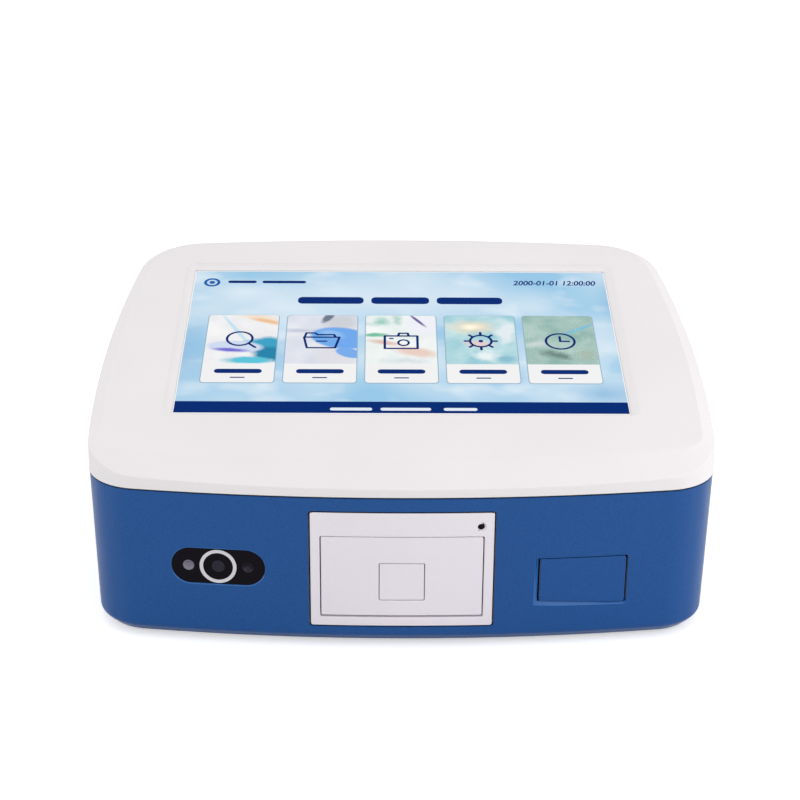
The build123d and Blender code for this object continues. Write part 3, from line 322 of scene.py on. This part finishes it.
def rubber(name, colour):
    """Dark matt rubber with a dusty bloom."""
    made, tree, shader, place = blank(name, {"Specular IOR Level": 0.35})
    dust = noise(tree, place, 320.0, 4.0, 0.7)
    base = between(tree, spread(tree, dust, 0.45, 0.8), colour, shaded(colour, 0.9))
    tree.links.new(base, shader.inputs["Base Color"])
    tree.links.new(spread(tree, dust, 0.2, 0.8, 0.72, 0.9), shader.inputs["Roughness"])
    relief(tree, shader, noise(tree, place, 1600.0, 2.0), 0.015 * MM)
    return made


def thread(name, colour):
    """Turned steel with a fine thread wound round the Y axis."""
    made, tree, shader, place = blank(name, {"Metallic": 1.0})
    turns = tree.nodes.new("ShaderNodeTexWave")
    turns.bands_direction = "Y"
    turns.inputs["Scale"].default_value = 160.0
    tree.links.new(place, turns.inputs["Vector"])
    # Darker along the thread's grooves: painted shade
    base = between(tree, turns.outputs["Fac"], shaded(colour, -0.5), colour)
    tree.links.new(base, shader.inputs["Base Color"])
    gloss = spread(tree, noise(tree, place, 500.0), 0.3, 0.7, 0.22, 0.36)
    tree.links.new(gloss, shader.inputs["Roughness"])
    relief(tree, shader, turns.outputs["Fac"], 0.25 * MM)
    return made


FINISHES = {
    "blue_shell": moulded(
        "blue_shell", linear(15, 77, 143), 0.42, 0.7, 0.03, 0.34,
        **{"Specular IOR Level": 0.3, "Sheen Weight": 0.45, "Sheen Roughness": 0.3},
    ),
    # Lighter copy of the blue shell for the bevels beside the flap and the rim of the scanner's slot: its
    # lighter colour is painted highlight, its glossier finish is real
    "blue_bevel_painted_highlight": moulded(
        "blue_bevel_painted_highlight", linear(34, 98, 166), 0.3, 0.7, 0.01, 0.2, **{"Specular IOR Level": 0.5}
    ),
    "white_shell": moulded("white_shell", linear(233, 229, 230), 0.5, 0.55, 0.025, 0.03),
    "white_front": moulded("white_front", linear(233, 227, 234), 0.4, 0.7, 0.006, 0.012),
    "white_gloss": glossy("white_gloss", linear(214, 211, 216), 0.2),
    "black_gloss": glossy("black_gloss", linear(16, 13, 20), 0.12, **{"Specular IOR Level": 0.07}),
    "black_plastic": moulded("black_plastic", linear(30, 30, 32), 0.5, 0.5, 0.02, 0.12),
    "grey_plastic": moulded("grey_plastic", linear(128, 130, 134), 0.5, 0.5, 0.02, 0.05),
    "nylon": moulded("nylon", linear(222, 219, 208), 0.38, 0.9, 0.01, 0.03, **{"Subsurface Weight": 0.1}),
    "dark_rubber": rubber("dark_rubber", linear(40, 34, 32)),
    "lens_glass": glossy("lens_glass", linear(36, 34, 47), 0.2, 0.1, **{"Specular IOR Level": 0.2}),
    "lamp_milky": glossy("lamp_milky", linear(122, 118, 134), 0.25, 0.05),
    "screen_glass": glossy("screen_glass", linear(8, 9, 12), 0.08),
    "display": glossy("display", linear(34, 38, 46), 0.25),
    "steel_sheet": metal("steel_sheet", linear(176, 178, 180), 0.42, (1.0, 1.0, 12.0)),
    "steel": metal("steel", linear(196, 197, 198), 0.3, (8.0, 1.0, 8.0)),
    "brass": metal("brass", linear(206, 172, 96), 0.3),
    "aluminium": metal("aluminium", linear(206, 208, 210), 0.4, (14.0, 1.0, 14.0)),
    "black_metal": metal("black_metal", linear(46, 46, 48), 0.5, (1.0, 1.0, 6.0)),
    "motor_black": moulded("motor_black", linear(26, 26, 28), 0.45, 0.6, 0.02, 0.15, Metallic=0.4),
    "circuit_board": board("circuit_board"),
}
SCREW_FINISH = thread("screw_thread", linear(186, 187, 188))

for node, slot in slot_of.items():
    nodes[node].data.materials.clear()
    nodes[node].data.materials.append(SCREW_FINISH if node == "lead_screw" else FINISHES[slot])


# ---------------------------------------------------------------- pieces


def piece(name, shape, finish, body="housing", place=Matrix.Identity(4), smooth=False):
    """An object from a finished bmesh, put in its place, that rides on a body."""
    mesh = bpy.data.meshes.new(name)
    bmesh.ops.transform(shape, matrix=place, verts=shape.verts)
    bmesh.ops.recalc_face_normals(shape, faces=shape.faces)
    for face in shape.faces:
        face.smooth = smooth
    shape.to_mesh(mesh)
    shape.free()
    made = bpy.data.objects.new(name, mesh)
    bpy.context.scene.collection.objects.link(made)
    made.data.materials.append(finish)
    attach(made, body)
    return made


def weighted(made):
    """Normals that follow the large faces, so that only the rounded edges shade round."""
    modifier = made.modifiers.new("normals", "WEIGHTED_NORMAL")
    modifier.keep_sharp = True
    modifier.weight = 60


def sharp_edges(shape):
    """Edges between two faces that meet at more than the sharp angle."""
    return [
        edge for edge in shape.edges
        if len(edge.link_faces) == 2 and edge.calc_face_angle() > SHARP_ANGLE
    ]


def softened(node, body, *rounds):
    """A copy of a CAD node that stands for it, each choice of sharp edges rounded to its width."""
    shape = bmesh.new()
    shape.from_mesh(nodes[node].data)
    bmesh.ops.remove_doubles(shape, verts=shape.verts, dist=MERGE_REACH)
    bmesh.ops.dissolve_limit(
        shape, angle_limit=FLAT_ANGLE, use_dissolve_boundaries=False,
        verts=shape.verts, edges=shape.edges,
    )
    for edge in sharp_edges(shape):
        edge.smooth = any(chosen(edge) for width, chosen in rounds)
    for width, chosen in rounds:
        bmesh.ops.bevel(
            shape, geom=[edge for edge in sharp_edges(shape) if chosen(edge)], offset=width * MM,
            segments=3, profile=0.5, affect="EDGES", clamp_overlap=False, material=-1,
            loop_slide=True, miter_outer="ARC", miter_inner="SHARP",
        )
    made = piece(node + "_shell", shape, FINISHES[slot_of[node]], body, smooth=True)
    weighted(made)
    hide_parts(node)
    return made


def refinished(made, finish, chosen):
    """Gives a piece's chosen faces a second finish."""
    made.data.materials.append(finish)
    for face in made.data.polygons:
        if chosen(face):
            face.material_index = 1


def span(node):
    """Low and high corner of a CAD node."""
    return (Vector(corner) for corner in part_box(node))


def front_of(node, turn=0.0, lean=0.0):
    """Place in the middle of a CAD piece's box, with Z out of the wall that it sits in."""
    low, high = span(node)
    facing = Matrix.Rotation(turn, 4, "Z") @ Matrix.Rotation(pi / 2 + lean, 4, "X")
    return Matrix.Translation((low + high) / 2) @ facing


def turned(node, profile, place):
    """A piece turned from a profile of radius and height in millimetres, which stands for a CAD node."""
    shape = bmesh.new()
    points = [shape.verts.new((radius * MM, 0.0, height * MM)) for radius, height in profile]
    line = [shape.edges.new(pair) for pair in zip(points, points[1:])]
    bmesh.ops.spin(
        shape, geom=points + line, cent=(0, 0, 0), axis=(0, 0, 1), angle=2 * pi, steps=64, use_merge=True
    )
    bmesh.ops.remove_doubles(shape, verts=shape.verts, dist=MERGE_REACH)
    finish = FINISHES[slot_of[node]]
    made = piece(node + "_turned", shape, finish, "housing", place, smooth=True)
    weighted(made)
    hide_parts(node)


def hollow(radius, rim, depth):
    """Profile of a round front with a bowl in it, from its rim at that height to the bowl's foot."""
    bowl = [step / 8 for step in range(8, -1, -1)]
    return [(radius - 0.2, rim)] + [
        ((radius - 0.4) * share, rim - 0.1 - (depth - 0.1) * (1 - share ** 2)) for share in bowl
    ]


# ---------------------------------------------------------------- display

glass_low, glass_high = span("touch_glass")
ON_GLASS = (
    Matrix.Translation((glass_low + glass_high) / 2)
    @ Matrix.Rotation(PLATEAU_TILT, 4, "X")
    @ Matrix.Translation((0.0, 0.0, GLASS_THICKNESS / 2 * MM))
)


def on_glass(across=0.0, up=0.0, layer=0):
    """Place on the display, in millimetres from its middle and in layers over the glass."""
    return ON_GLASS @ Matrix.Translation((across * MM, up * MM, layer * LAYER * MM))


def display_spot(tree, place, across=0.0, up=0.0):
    """Millimetres to the right and up from a point of the display."""
    middle = ON_GLASS @ Vector((across * MM, up * MM, 0.0))
    return measured_from(tree, place, middle, (PLATEAU_TILT, 0.0, 0.0), (MM, MM, MM))


def add_plate(shape, across, up, width, height, corner=0.0, turn=0.0, top_only=False):
    """Adds a flat plate with rounded corners to a drawing."""
    made = bmesh.ops.create_grid(shape, x_segments=1, y_segments=1, size=0.5 * MM)["verts"]
    bmesh.ops.scale(shape, vec=(width, height, 1.0), verts=made)
    rounded = [vertex for vertex in made if vertex.co.y > 0 or not top_only]
    bmesh.ops.rotate(shape, cent=(0, 0, 0), matrix=Matrix.Rotation(turn, 3, "Z"), verts=made)
    bmesh.ops.translate(shape, vec=(across * MM, up * MM, 0.0), verts=made)
    if corner:
        bmesh.ops.bevel(
            shape, geom=rounded, offset=corner * MM, affect="VERTICES", segments=5, profile=0.5,
            material=-1, clamp_overlap=True,
        )


def add_stroke(shape, start, end, width):
    """Adds a round-ended stroke between two points to a drawing."""
    run = Vector(end) - Vector(start)
    middle = (Vector(end) + Vector(start)) / 2
    add_plate(
        shape, middle.x, middle.y, run.length + width, width, width * 0.49, atan2(run.y, run.x)
    )


def add_strokes(shape, line, across, up, width):
    """Adds strokes along a line of points, measured from a point, to a drawing."""
    for start, end in zip(line, line[1:]):
        add_stroke(shape, (across + start[0], up + start[1]), (across + end[0], up + end[1]), width)


def add_ring(shape, across, up, radius, width):
    """Adds a flat ring to a drawing."""
    made = bmesh.ops.create_circle(shape, cap_ends=True, segments=48, radius=radius * MM)["verts"]
    bmesh.ops.translate(shape, vec=(across * MM, up * MM, 0.0), verts=made)
    disc = list({face for vertex in made for face in vertex.link_faces})
    if width < radius:
        bmesh.ops.inset_region(
            shape, faces=disc, use_boundary=True, use_even_offset=True, thickness=width * MM, depth=0.0
        )
        bmesh.ops.delete(shape, geom=disc, context="FACES_ONLY")


def raised(shape):
    """The drawing raised by one layer, so that it is closed all round."""
    top = bmesh.ops.extrude_face_region(shape, geom=shape.faces[:])["geom"]
    risen = [item for item in top if isinstance(item, bmesh.types.BMVert)]
    bmesh.ops.translate(shape, vec=(0.0, 0.0, LAYER * MM), verts=risen)
    return shape


def lit(name, paint, own_light=0.4):
    """Display picture: paint(tree, place) gives its colour, a share of it as the panel's own light."""
    made, tree, shader, place = blank(
        name, {"Emission Strength": own_light, "Roughness": 0.25, "Specular IOR Level": 0.01}
    )
    colour = paint(tree, place)
    tree.links.new(between(tree, own_light, colour, BLACK), shader.inputs["Base Color"])
    tree.links.new(colour, shader.inputs["Emission Color"])
    return made


def even(colour):
    """Paint of one colour with the panel's faint unevenness."""
    def paint(tree, place):
        return between(tree, noise(tree, place, 30.0), shaded(colour, -0.02), shaded(colour, 0.02))
    return paint


def glow(tree, spot, middle, size, turn=0.0, edge=0.6, ragged=0.0, pitch=0.12):
    """Soft oval round a point of a picture, 1 inside and 0 outside, with a more or less ragged edge."""
    node = tree.nodes.new("ShaderNodeTexGradient")
    node.gradient_type = "SPHERICAL"
    oval = measured_from(tree, spot, (*middle, 0.0), (0.0, 0.0, turn), (*size, 40.0))
    tree.links.new(oval, node.inputs["Vector"])
    value = node.outputs["Fac"]
    if ragged:
        wander = spread(tree, noise(tree, spot, pitch, 3.0), 0.3, 0.7, -ragged, ragged)
        value = reckoned(tree, "ADD", value, wander)
    return spread(tree, value, ragged, ragged + edge)


DEEP_SKY = linear(144, 188, 222)
SKY_GLOWS = (
    ((-12.0, 40.0), (96.0, 36.0), 1.0, 0.0, linear(216, 232, 244)),
    ((-80.0, 46.0), (38.0, 17.0), 0.9, 0.1, linear(219, 234, 245)),
    ((112.0, 40.0), (13.0, 30.0), 1.1, 0.12, DEEP_SKY),
    ((98.0, -50.0), (28.0, 15.0), 1.1, 0.12, DEEP_SKY),
    ((-108.0, -12.0), (14.0, 44.0), 1.1, 0.12, DEEP_SKY),
)


def sky(tree, place):
    """Pale cloudy blue behind the cards, deeper towards the right."""
    spot = display_spot(tree, place)
    clouds = noise(tree, stretched(tree, spot, (1.0, 1.5, 1.0)), 0.016, 1.2, 0.4)
    wisps = noise(tree, stretched(tree, spot, (1.0, 1.4, 1.0)), 0.04, 2.0, 0.4)
    base = between(tree, spread(tree, clouds, 0.34, 0.68), linear(152, 200, 231), linear(207, 227, 241))
    base = between(tree, spread(tree, wisps, 0.52, 0.85), base, linear(230, 241, 248))
    for middle, size, edge, ragged, colour in SKY_GLOWS:
        base = between(tree, glow(tree, spot, middle, size, 0.0, edge, ragged, 0.05), base, colour)
    return base


def picture(across, ground, marks):
    """Paint of a card's picture: a cloudy ground under soft marks, each an oval and its colour."""
    def paint(tree, place):
        spot = display_spot(tree, place, across, PICTURE_MIDDLE)
        clouds = spread(tree, noise(tree, spot, 0.06, 3.0), 0.35, 0.65)
        base = between(tree, clouds, ground[0], ground[1])
        for middle, size, turn, edge, ragged, colour in marks:
            base = between(tree, glow(tree, spot, middle, size, radians(turn), edge, ragged), base, colour)
        return base
    return paint


PICTURES = {
    "picture_glass": (
        (linear(233, 233, 236), linear(246, 246, 247)),
        (
            ((9.0, 20.0), (22.0, 6.0), -24.0, 0.7, 0.1, linear(243, 224, 205)),
            ((12.0, 17.0), (13.0, 2.6), -18.0, 0.6, 0.1, linear(239, 193, 150)),
            ((-3.0, 8.0), (22.0, 1.5), -62.0, 0.5, 0.0, linear(196, 226, 240)),
            ((13.0, -6.0), (17.0, 10.0), 8.0, 0.35, 0.12, linear(62, 162, 196)),
            ((16.0, -14.0), (15.0, 9.0), 0.0, 0.35, 0.15, linear(38, 131, 170)),
            ((4.0, -20.0), (16.0, 4.5), 0.0, 0.4, 0.1, linear(92, 196, 218)),
            ((-3.0, -7.5), (15.5, 6.2), -4.0, 0.2, 0.02, linear(206, 218, 240)),
            ((-5.0, -10.5), (12.5, 2.4), -6.0, 0.5, 0.1, linear(122, 108, 208)),
        ),
    ),
    "picture_folder": (
        (linear(214, 219, 232), linear(233, 234, 241)),
        (
            ((-12.0, 8.0), (14.0, 3.0), 0.0, 0.7, 0.1, linear(198, 204, 222)),
            ((9.0, 16.0), (13.0, 12.0), 20.0, 0.5, 0.1, linear(206, 208, 216)),
            ((3.0, 21.0), (3.2, 8.0), -28.0, 0.4, 0.1, linear(112, 122, 140)),
            ((6.0, -15.0), (14.0, 14.0), 0.0, 0.5, 0.1, linear(222, 222, 228)),
            ((10.0, 1.0), (17.0, 10.5), -14.0, 0.14, 0.0, linear(112, 169, 236)),
            ((5.0, 4.5), (9.0, 5.0), -24.0, 0.5, 0.1, linear(146, 191, 241)),
            ((14.0, -13.0), (8.0, 4.5), -26.0, 0.2, 0.0, linear(120, 172, 234)),
        ),
    ),
    "picture_bench": (
        (linear(228, 238, 236), linear(245, 248, 247)),
        (
            ((-10.0, 16.0), (11.0, 8.0), 0.0, 0.6, 0.3, linear(160, 208, 196)),
            ((-2.0, 19.0), (5.0, 10.0), 0.0, 0.5, 0.3, linear(184, 212, 206)),
            ((-13.0, 4.0), (9.0, 3.0), 0.0, 0.5, 0.2, linear(120, 190, 164)),
            ((12.0, 15.0), (12.0, 14.0), 0.0, 0.4, 0.05, linear(238, 239, 247)),
            ((8.5, 18.0), (1.2, 9.0), 34.0, 0.5, 0.0, linear(112, 102, 158)),
            ((-9.0, -3.0), (12.0, 3.4), -14.0, 0.5, 0.15, linear(226, 194, 182)),
            ((7.0, -12.0), (16.0, 6.0), -14.0, 0.5, 0.1, linear(233, 206, 194)),
            ((0.0, -20.0), (20.0, 5.0), 0.0, 0.6, 0.3, linear(214, 222, 226)),
        ),
    ),
    "picture_sunrise": (
        (linear(152, 203, 214), linear(196, 226, 230)),
        (
            ((13.0, 8.0), (10.0, 16.0), 0.0, 0.5, 0.2, linear(226, 236, 240)),
            ((-4.0, 12.0), (17.0, 9.0), 0.0, 0.9, 0.1, linear(250, 226, 186)),
            ((-5.0, 12.0), (7.0, 4.0), 0.0, 0.8, 0.05, linear(255, 248, 226)),
            ((-2.0, -4.0), (12.0, 5.0), -10.0, 0.5, 0.2, linear(224, 206, 204)),
            ((2.0, -15.0), (14.0, 8.0), 0.0, 0.5, 0.25, linear(232, 241, 244)),
            ((12.0, -18.0), (8.0, 5.0), 0.0, 0.5, 0.2, linear(140, 190, 208)),
        ),
    ),
    "picture_record": (
        (linear(140, 178, 170), linear(178, 204, 196)),
        (
            ((-12.0, -4.0), (12.0, 6.0), 12.0, 0.6, 0.2, linear(202, 216, 212)),
            ((10.0, 10.0), (14.0, 2.0), 32.0, 0.5, 0.1, linear(126, 190, 214)),
            ((-3.0, -14.0), (14.0, 7.0), -20.0, 0.5, 0.25, linear(112, 138, 130)),
            ((12.0, -14.0), (10.0, 8.0), 0.0, 0.7, 0.2, linear(168, 186, 172)),
        ),
    ),
}


def dotted(paint, across):
    """The same paint with rows of small light dots over it."""
    def dots(tree, place):
        spot = display_spot(tree, place, across, CARD_MIDDLE)
        grid = tree.nodes.new("ShaderNodeTexVoronoi")
        grid.inputs["Scale"].default_value = 0.7
        grid.inputs["Randomness"].default_value = 0.35
        tree.links.new(spot, grid.inputs["Vector"])
        mark = spread(tree, grid.outputs["Distance"], 0.12, 0.3, 1.0, 0.0)
        level = spread(tree, noise(tree, spot, 0.16, 2.0), 0.45, 0.7, 0.0, 0.8)
        both = reckoned(tree, "MULTIPLY", mark, level)
        return between(tree, both, paint(tree, place), linear(224, 240, 234))
    return dots


def draw_magnifier(shape, across, up):
    """Magnifying glass in strokes, round a point of a drawing."""
    add_ring(shape, across - 1.0, up + 1.6, 7.0, 1.25)
    add_stroke(shape, (across + 4.2, up - 3.4), (across + 7.2, up - 6.6), 1.3)


def draw_folder(shape, across, up):
    """Folder in strokes, round a point of a drawing."""
    back = ((-8.4, 4.2), (-7.8, 7.2), (-3.4, 7.2), (-2.2, 5.6), (6.2, 5.6), (7.0, 3.2))
    tray = ((-8.9, 3.2), (8.9, 3.2), (6.9, -6.8), (-7.2, -6.8), (-8.9, 3.2))
    for line in (back, tray):
        add_strokes(shape, line, across, up, 1.2)
    add_stroke(shape, (across - 2.4, up - 0.6), (across + 2.4, up - 0.6), 1.1)


def draw_camera(shape, across, up):
    """Camera in strokes, round a point of a drawing."""
    box = ((-8.2, 4.6), (8.2, 4.6), (8.2, -7.2), (-8.2, -7.2), (-8.2, 4.6))
    finder = ((-1.4, 4.8), (-1.0, 7.2), (3.4, 7.2), (3.8, 4.8))
    for line in (box, finder):
        add_strokes(shape, line, across, up, 1.25)
    add_ring(shape, across + 1.2, up - 1.8, 3.2, 1.15)
    add_stroke(shape, (across - 5.6, up + 2.2), (across - 4.2, up + 2.2), 1.1)


def draw_gear(shape, across, up):
    """Gear wheel in strokes, round a point of a drawing."""
    add_ring(shape, across, up, 6.0, 1.25)
    add_ring(shape, across, up, 1.2, 1.2)
    for step in range(8):
        arm = Vector((cos(step * pi / 4), sin(step * pi / 4)))
        hub = Vector((across, up))
        add_stroke(shape, hub + arm * 5.6, hub + arm * 8.0, 1.35)


def draw_clock(shape, across, up):
    """Clock in strokes, round a point of a drawing."""
    add_ring(shape, across, up, 7.8, 1.25)
    add_stroke(shape, (across, up + 4.4), (across, up), 1.25)
    add_stroke(shape, (across, up), (across + 4.4, up), 1.25)


def digits(text, across, up, width, height):
    """Plain digits as a flat drawing that fills a width and height round a point."""
    letters = bpy.data.curves.new("digits", "FONT")
    letters.body = text
    letters.shear = 0.2
    letters.offset = 0.02
    held = bpy.data.objects.new("digits", letters)
    shape = bmesh.new()
    shape.from_mesh(bpy.data.meshes.new_from_object(held))
    bpy.data.objects.remove(held)
    bmesh.ops.remove_doubles(shape, verts=shape.verts, dist=0.0001)
    low = Vector([min(vertex.co[axis] for vertex in shape.verts) for axis in range(3)])
    high = Vector([max(vertex.co[axis] for vertex in shape.verts) for axis in range(3)])
    bmesh.ops.translate(shape, vec=-(low + high) / 2, verts=shape.verts)
    bmesh.ops.scale(
        shape, vec=(width * MM / (high.x - low.x), height * MM / (high.y - low.y), 1.0),
        verts=shape.verts,
    )
    bmesh.ops.translate(shape, vec=(across * MM, up * MM, 0.0), verts=shape.verts)
    return shape


def drawing(name, shape, finish, layer):
    """A flat drawing that lies on the display in its layer."""
    return piece(name, raised(shape), finish, place=on_glass(layer=layer))


def add_bars(shape, bars, up, height, corner):
    """Adds a row of bars, each given by its middle and width across, to a drawing."""
    for across, width in bars:
        add_plate(shape, across, up, width, height, corner)


navy = lit("navy_ink", even(linear(0, 42, 114)))
paper_white = lit("card_white", even(linear(240, 240, 241)))

field = bmesh.new()
add_plate(field, 0.0, 0.0, SHOWN_WIDTH, SHOWN_HEIGHT)
drawing("display_field", field, lit("display_sky", sky), 0)

edge_line = bmesh.new()
add_plate(edge_line, 0.0, (NEAR_EDGE_LINE - SHOWN_HEIGHT) / 2, SHOWN_WIDTH, NEAR_EDGE_LINE)
add_plate(edge_line, 0.0, (SHOWN_HEIGHT - EDGE_LINE) / 2, SHOWN_WIDTH, EDGE_LINE)
for side in (-1, 1):
    add_plate(
        edge_line, side * (SHOWN_WIDTH - EDGE_LINE) / 2, (NEAR_EDGE_LINE - EDGE_LINE) / 2,
        EDGE_LINE, SHOWN_HEIGHT - NEAR_EDGE_LINE - EDGE_LINE,
    )
drawing("display_edge", edge_line, lit("edge_white", even(linear(253, 250, 250)), 0.75), 2)

footer = bmesh.new()
footer_foot = -SHOWN_HEIGHT / 2
add_plate(footer, 0.0, (FOOTER_TOP + footer_foot) / 2, SHOWN_WIDTH, FOOTER_TOP - footer_foot)
drawing("display_footer", footer, navy, 1)

footer_marks = bmesh.new()
add_bars(footer_marks, FOOTER_BARS, FOOTER_BAR_UP, 2.4, 1.1)
drawing("footer_marks", footer_marks, lit("footer_ink", even(linear(226, 234, 246))), 2)

title = bmesh.new()
add_bars(title, TITLE_BARS, TITLE_UP, 6.8, 2.5)
add_bars(title, HEADING_BARS, HEADING_UP, 2.6, 1.2)
drawing("title_marks", title, navy, 1)

home = bmesh.new()
add_ring(home, *HOME_PLACE, 4.3, 1.5)
add_ring(home, *HOME_PLACE, 1.5, 1.5)
drawing("home_mark", home, lit("home_blue", even(linear(24, 92, 172))), 1)

drawing("clock_digits", digits(CLOCK_DIGITS, *CLOCK_PLACE, *CLOCK_SIZE), navy, 1)

edges, cards, labels, icons = bmesh.new(), bmesh.new(), bmesh.new(), bmesh.new()
card_width, card_height = CARD_SIZE
draw_icon = (draw_magnifier, draw_folder, draw_camera, draw_gear, draw_clock)
for across, draw, (name, (ground, marks)) in zip(CARD_PLACES, draw_icon, PICTURES.items()):
    add_plate(edges, across, CARD_MIDDLE - 0.2, card_width + CARD_EDGE, card_height + CARD_EDGE, 2.2)
    add_plate(cards, across, CARD_MIDDLE, card_width, card_height, CARD_CORNER)
    art = bmesh.new()
    add_plate(art, across, PICTURE_MIDDLE, card_width, PICTURE_HEIGHT, CARD_CORNER, top_only=True)
    paint = picture(across, ground, marks)
    drawing(name, art, lit(name, dotted(paint, across) if draw is draw_clock else paint), 3)
    add_plate(labels, across, LABEL_UP, *LABEL_SIZE, 1.8)
    add_plate(labels, across, UNDERLINE_UP, *UNDERLINE_SIZE, 0.4)
    draw(icons, across, ICON_HEIGHT)
drawing("card_edges", edges, lit("card_edge", even(linear(150, 178, 196))), 1)
drawing("cards", cards, paper_white, 2)
drawing("card_labels", labels, navy, 3)
drawing("card_icons", icons, navy, 4)


# ---------------------------------------------------------------- housing and front


frame_low, frame_high = (corner / MM for corner in span("bay_frame"))
status_low, status_high = span("status_lamp")
status_middle = (status_low + status_high) / 2
slot_front = front_of("scanner_window", SCANNER_TURN, WALL_LEAN)
flap_front = front_of("port_flap", FLAP_TURN, WALL_LEAN)
in_slot = slot_front.inverted()
at_flap = flap_front.inverted()


def within(spot, reach):
    """Whether a spot, in millimetres from a front's middle, lies within a reach across and up."""
    return abs(spot.x) < reach[0] and abs(spot.y) < reach[1]


def every_edge(edge):
    """Whether an edge is rounded where all of them are."""
    return edge.is_valid


def on_foot_line(edge):
    """Whether an edge lies where the tub's wall meets its bottom chamfer."""
    return all(FOOT_LINE[0] * MM < vertex.co.z < FOOT_LINE[1] * MM for vertex in edge.verts)


def on_slot_rim(edge):
    """Whether an edge runs round the mouth of the scanner's slot."""
    seen = [in_slot @ vertex.co / MM for vertex in edge.verts]
    return all(within(spot, SLOT_MOUTH) and spot.z > SLOT_RIM_FOOT for spot in seen)


def on_flap_mouth(edge):
    """Whether an edge runs along the outer side of the bevels round the flap."""
    seen = [at_flap @ vertex.co / MM for vertex in edge.verts]
    return all(within(spot, FLAP_MOUTH) and spot.z > FLAP_BEVEL_FOOT for spot in seen)


def in_worked_edge(face):
    """Whether a face of the tub is a bevel beside the flap or the rounded rim of the scanner's slot."""
    return any(
        within(inside @ face.center / MM, FLAP_MOUTH) and 0.3 < face.normal.dot(front.col[2].xyz) < 0.97
        for front, inside in ((flap_front, at_flap), (slot_front, in_slot))
    )


def off_dish(edge):
    """Whether an edge of the frame stays clear of the status lamp's dish."""
    return all((vertex.co - status_middle).xz.length > DISH_REACH * MM for vertex in edge.verts)


def in_shaded_frame_gap(face):
    """Whether a face of the drawer's frame lies down in the gap round it, where its dark finish is painted
    shade.
    """
    spot = face.center / MM
    inward = min(spot.x - frame_low.x, frame_high.x - spot.x, spot.z - frame_low.z, frame_high.z - spot.z)
    return inward < FRAME_GAP_REACH and spot.y > frame_low.y + FRAME_GAP_DEPTH


tub = softened(
    "lower_housing", "housing",
    (FOOT_ROUNDING, on_foot_line), (SLOT_ROUNDING, on_slot_rim), (MOUTH_ROUNDING, on_flap_mouth),
)
# The bevels beside the flap and the slot's rounded rim take the lighter blue: painted highlight
refinished(tub, FINISHES["blue_bevel_painted_highlight"], in_worked_edge)
softened("top_cover", "housing", (COVER_ROUNDING, every_edge))
frame_shell = softened("bay_frame", "housing", (FRAME_ROUNDING, off_dish))
# Faces down in the gap round the frame take the dark rubber finish: painted shade that darkens the gap
refinished(frame_shell, FINISHES["dark_rubber"], in_shaded_frame_gap)
softened("drawer_front", "drawer", (DRAWER_ROUNDING, every_edge))
softened("open_pad", "pad", (PAD_ROUNDING, every_edge))
softened("port_flap", "flap", (FLAP_ROUNDING, every_edge))

status_reach = (status_high - status_low).y / 2 / MM
status_foot = [(0.0, -status_reach), (LAMP_RADIUS, -status_reach)]
status_dome = [
    (LAMP_RADIUS * cos(step * pi / 16), status_reach + LAMP_RISE * sin(step * pi / 16)) for step in range(9)
]
turned("status_lamp", status_foot + status_dome, front_of("status_lamp"))

for node, radius, depth in SCANNER_BOWLS:
    barrel = [(0.0, SCANNER_BACK), (radius, SCANNER_BACK), (radius, SCANNER_FRONT - 0.1)]
    turned(node, barrel + hollow(radius, SCANNER_FRONT, depth), front_of(node, SCANNER_TURN, WALL_LEAN))


# ---------------------------------------------------------------- studio


def staged(name, data):
    """An object of the studio, put in the scene."""
    made = bpy.data.objects.new(name, data)
    bpy.context.scene.collection.objects.link(made)
    return made


for name, place, size, power in SOFT_BOXES:
    soft_box = bpy.data.lights.new(name, "AREA")
    soft_box.shape = "RECTANGLE"
    soft_box.size, soft_box.size_y = size
    soft_box.energy = power
    held = staged(name, soft_box)
    held.location = place
    held.rotation_mode = "QUATERNION"
    held.rotation_quaternion = (Vector(place) - Vector(LAMP_AIM)).to_track_quat("Z", "Y")

world = bpy.data.worlds.new("studio")
bpy.context.scene.world = world
world.use_nodes = True
air = world.node_tree
rays = air.nodes.new("ShaderNodeLightPath").outputs
seen = reckoned(air, "MAXIMUM", rays["Is Camera Ray"], rays["Is Transmission Ray"])
seen = reckoned(air, "MAXIMUM", seen, rays["Is Glossy Ray"])
air.nodes["Background"].inputs["Color"].default_value = PAPER_WHITE
air.links.new(spread(air, seen, 0.0, 1.0, ROOM_LIGHT, 1.0), air.nodes["Background"].inputs["Strength"])

sheet = bmesh.new()
bmesh.ops.create_grid(sheet, x_segments=1, y_segments=1, size=FLOOR_REACH)
floor_mesh = bpy.data.meshes.new("floor")
sheet.to_mesh(floor_mesh)
sheet.free()
paper, tree, shader, place = blank("floor_paper", {"Roughness": 0.9, "Specular IOR Level": 0.1})
fibres = between(tree, noise(tree, place, 4.0), linear(230, 230, 230), linear(233, 233, 233))
tree.links.new(fibres, shader.inputs["Base Color"])
camera_ray = tree.nodes.new("ShaderNodeLightPath").outputs["Is Camera Ray"]
shader.inputs["Emission Color"].default_value = PAPER_WHITE
tree.links.new(reckoned(tree, "MULTIPLY", camera_ray, FLOOR_LIFT), shader.inputs["Emission Strength"])
floor_mesh.materials.append(paper)
staged("floor", floor_mesh)

camera_data = bpy.data.cameras.new("camera")
camera_data.sensor_width = 36.0
camera_data.lens = CAMERA_LENS
camera_data.clip_start = 0.01
camera_data.clip_end = 20.0
camera = staged("camera", camera_data)
camera.matrix_world = (
    Matrix.Translation(CAMERA_PLACE)
    @ Matrix.Rotation(radians(CAMERA_YAW), 4, "Z")
    @ Matrix.Rotation(radians(90 - CAMERA_PITCH), 4, "X")
    @ Matrix.Rotation(radians(CAMERA_ROLL), 4, "Z")
)
bpy.context.scene.camera = camera
bpy.context.scene.view_settings.view_transform = "Standard"
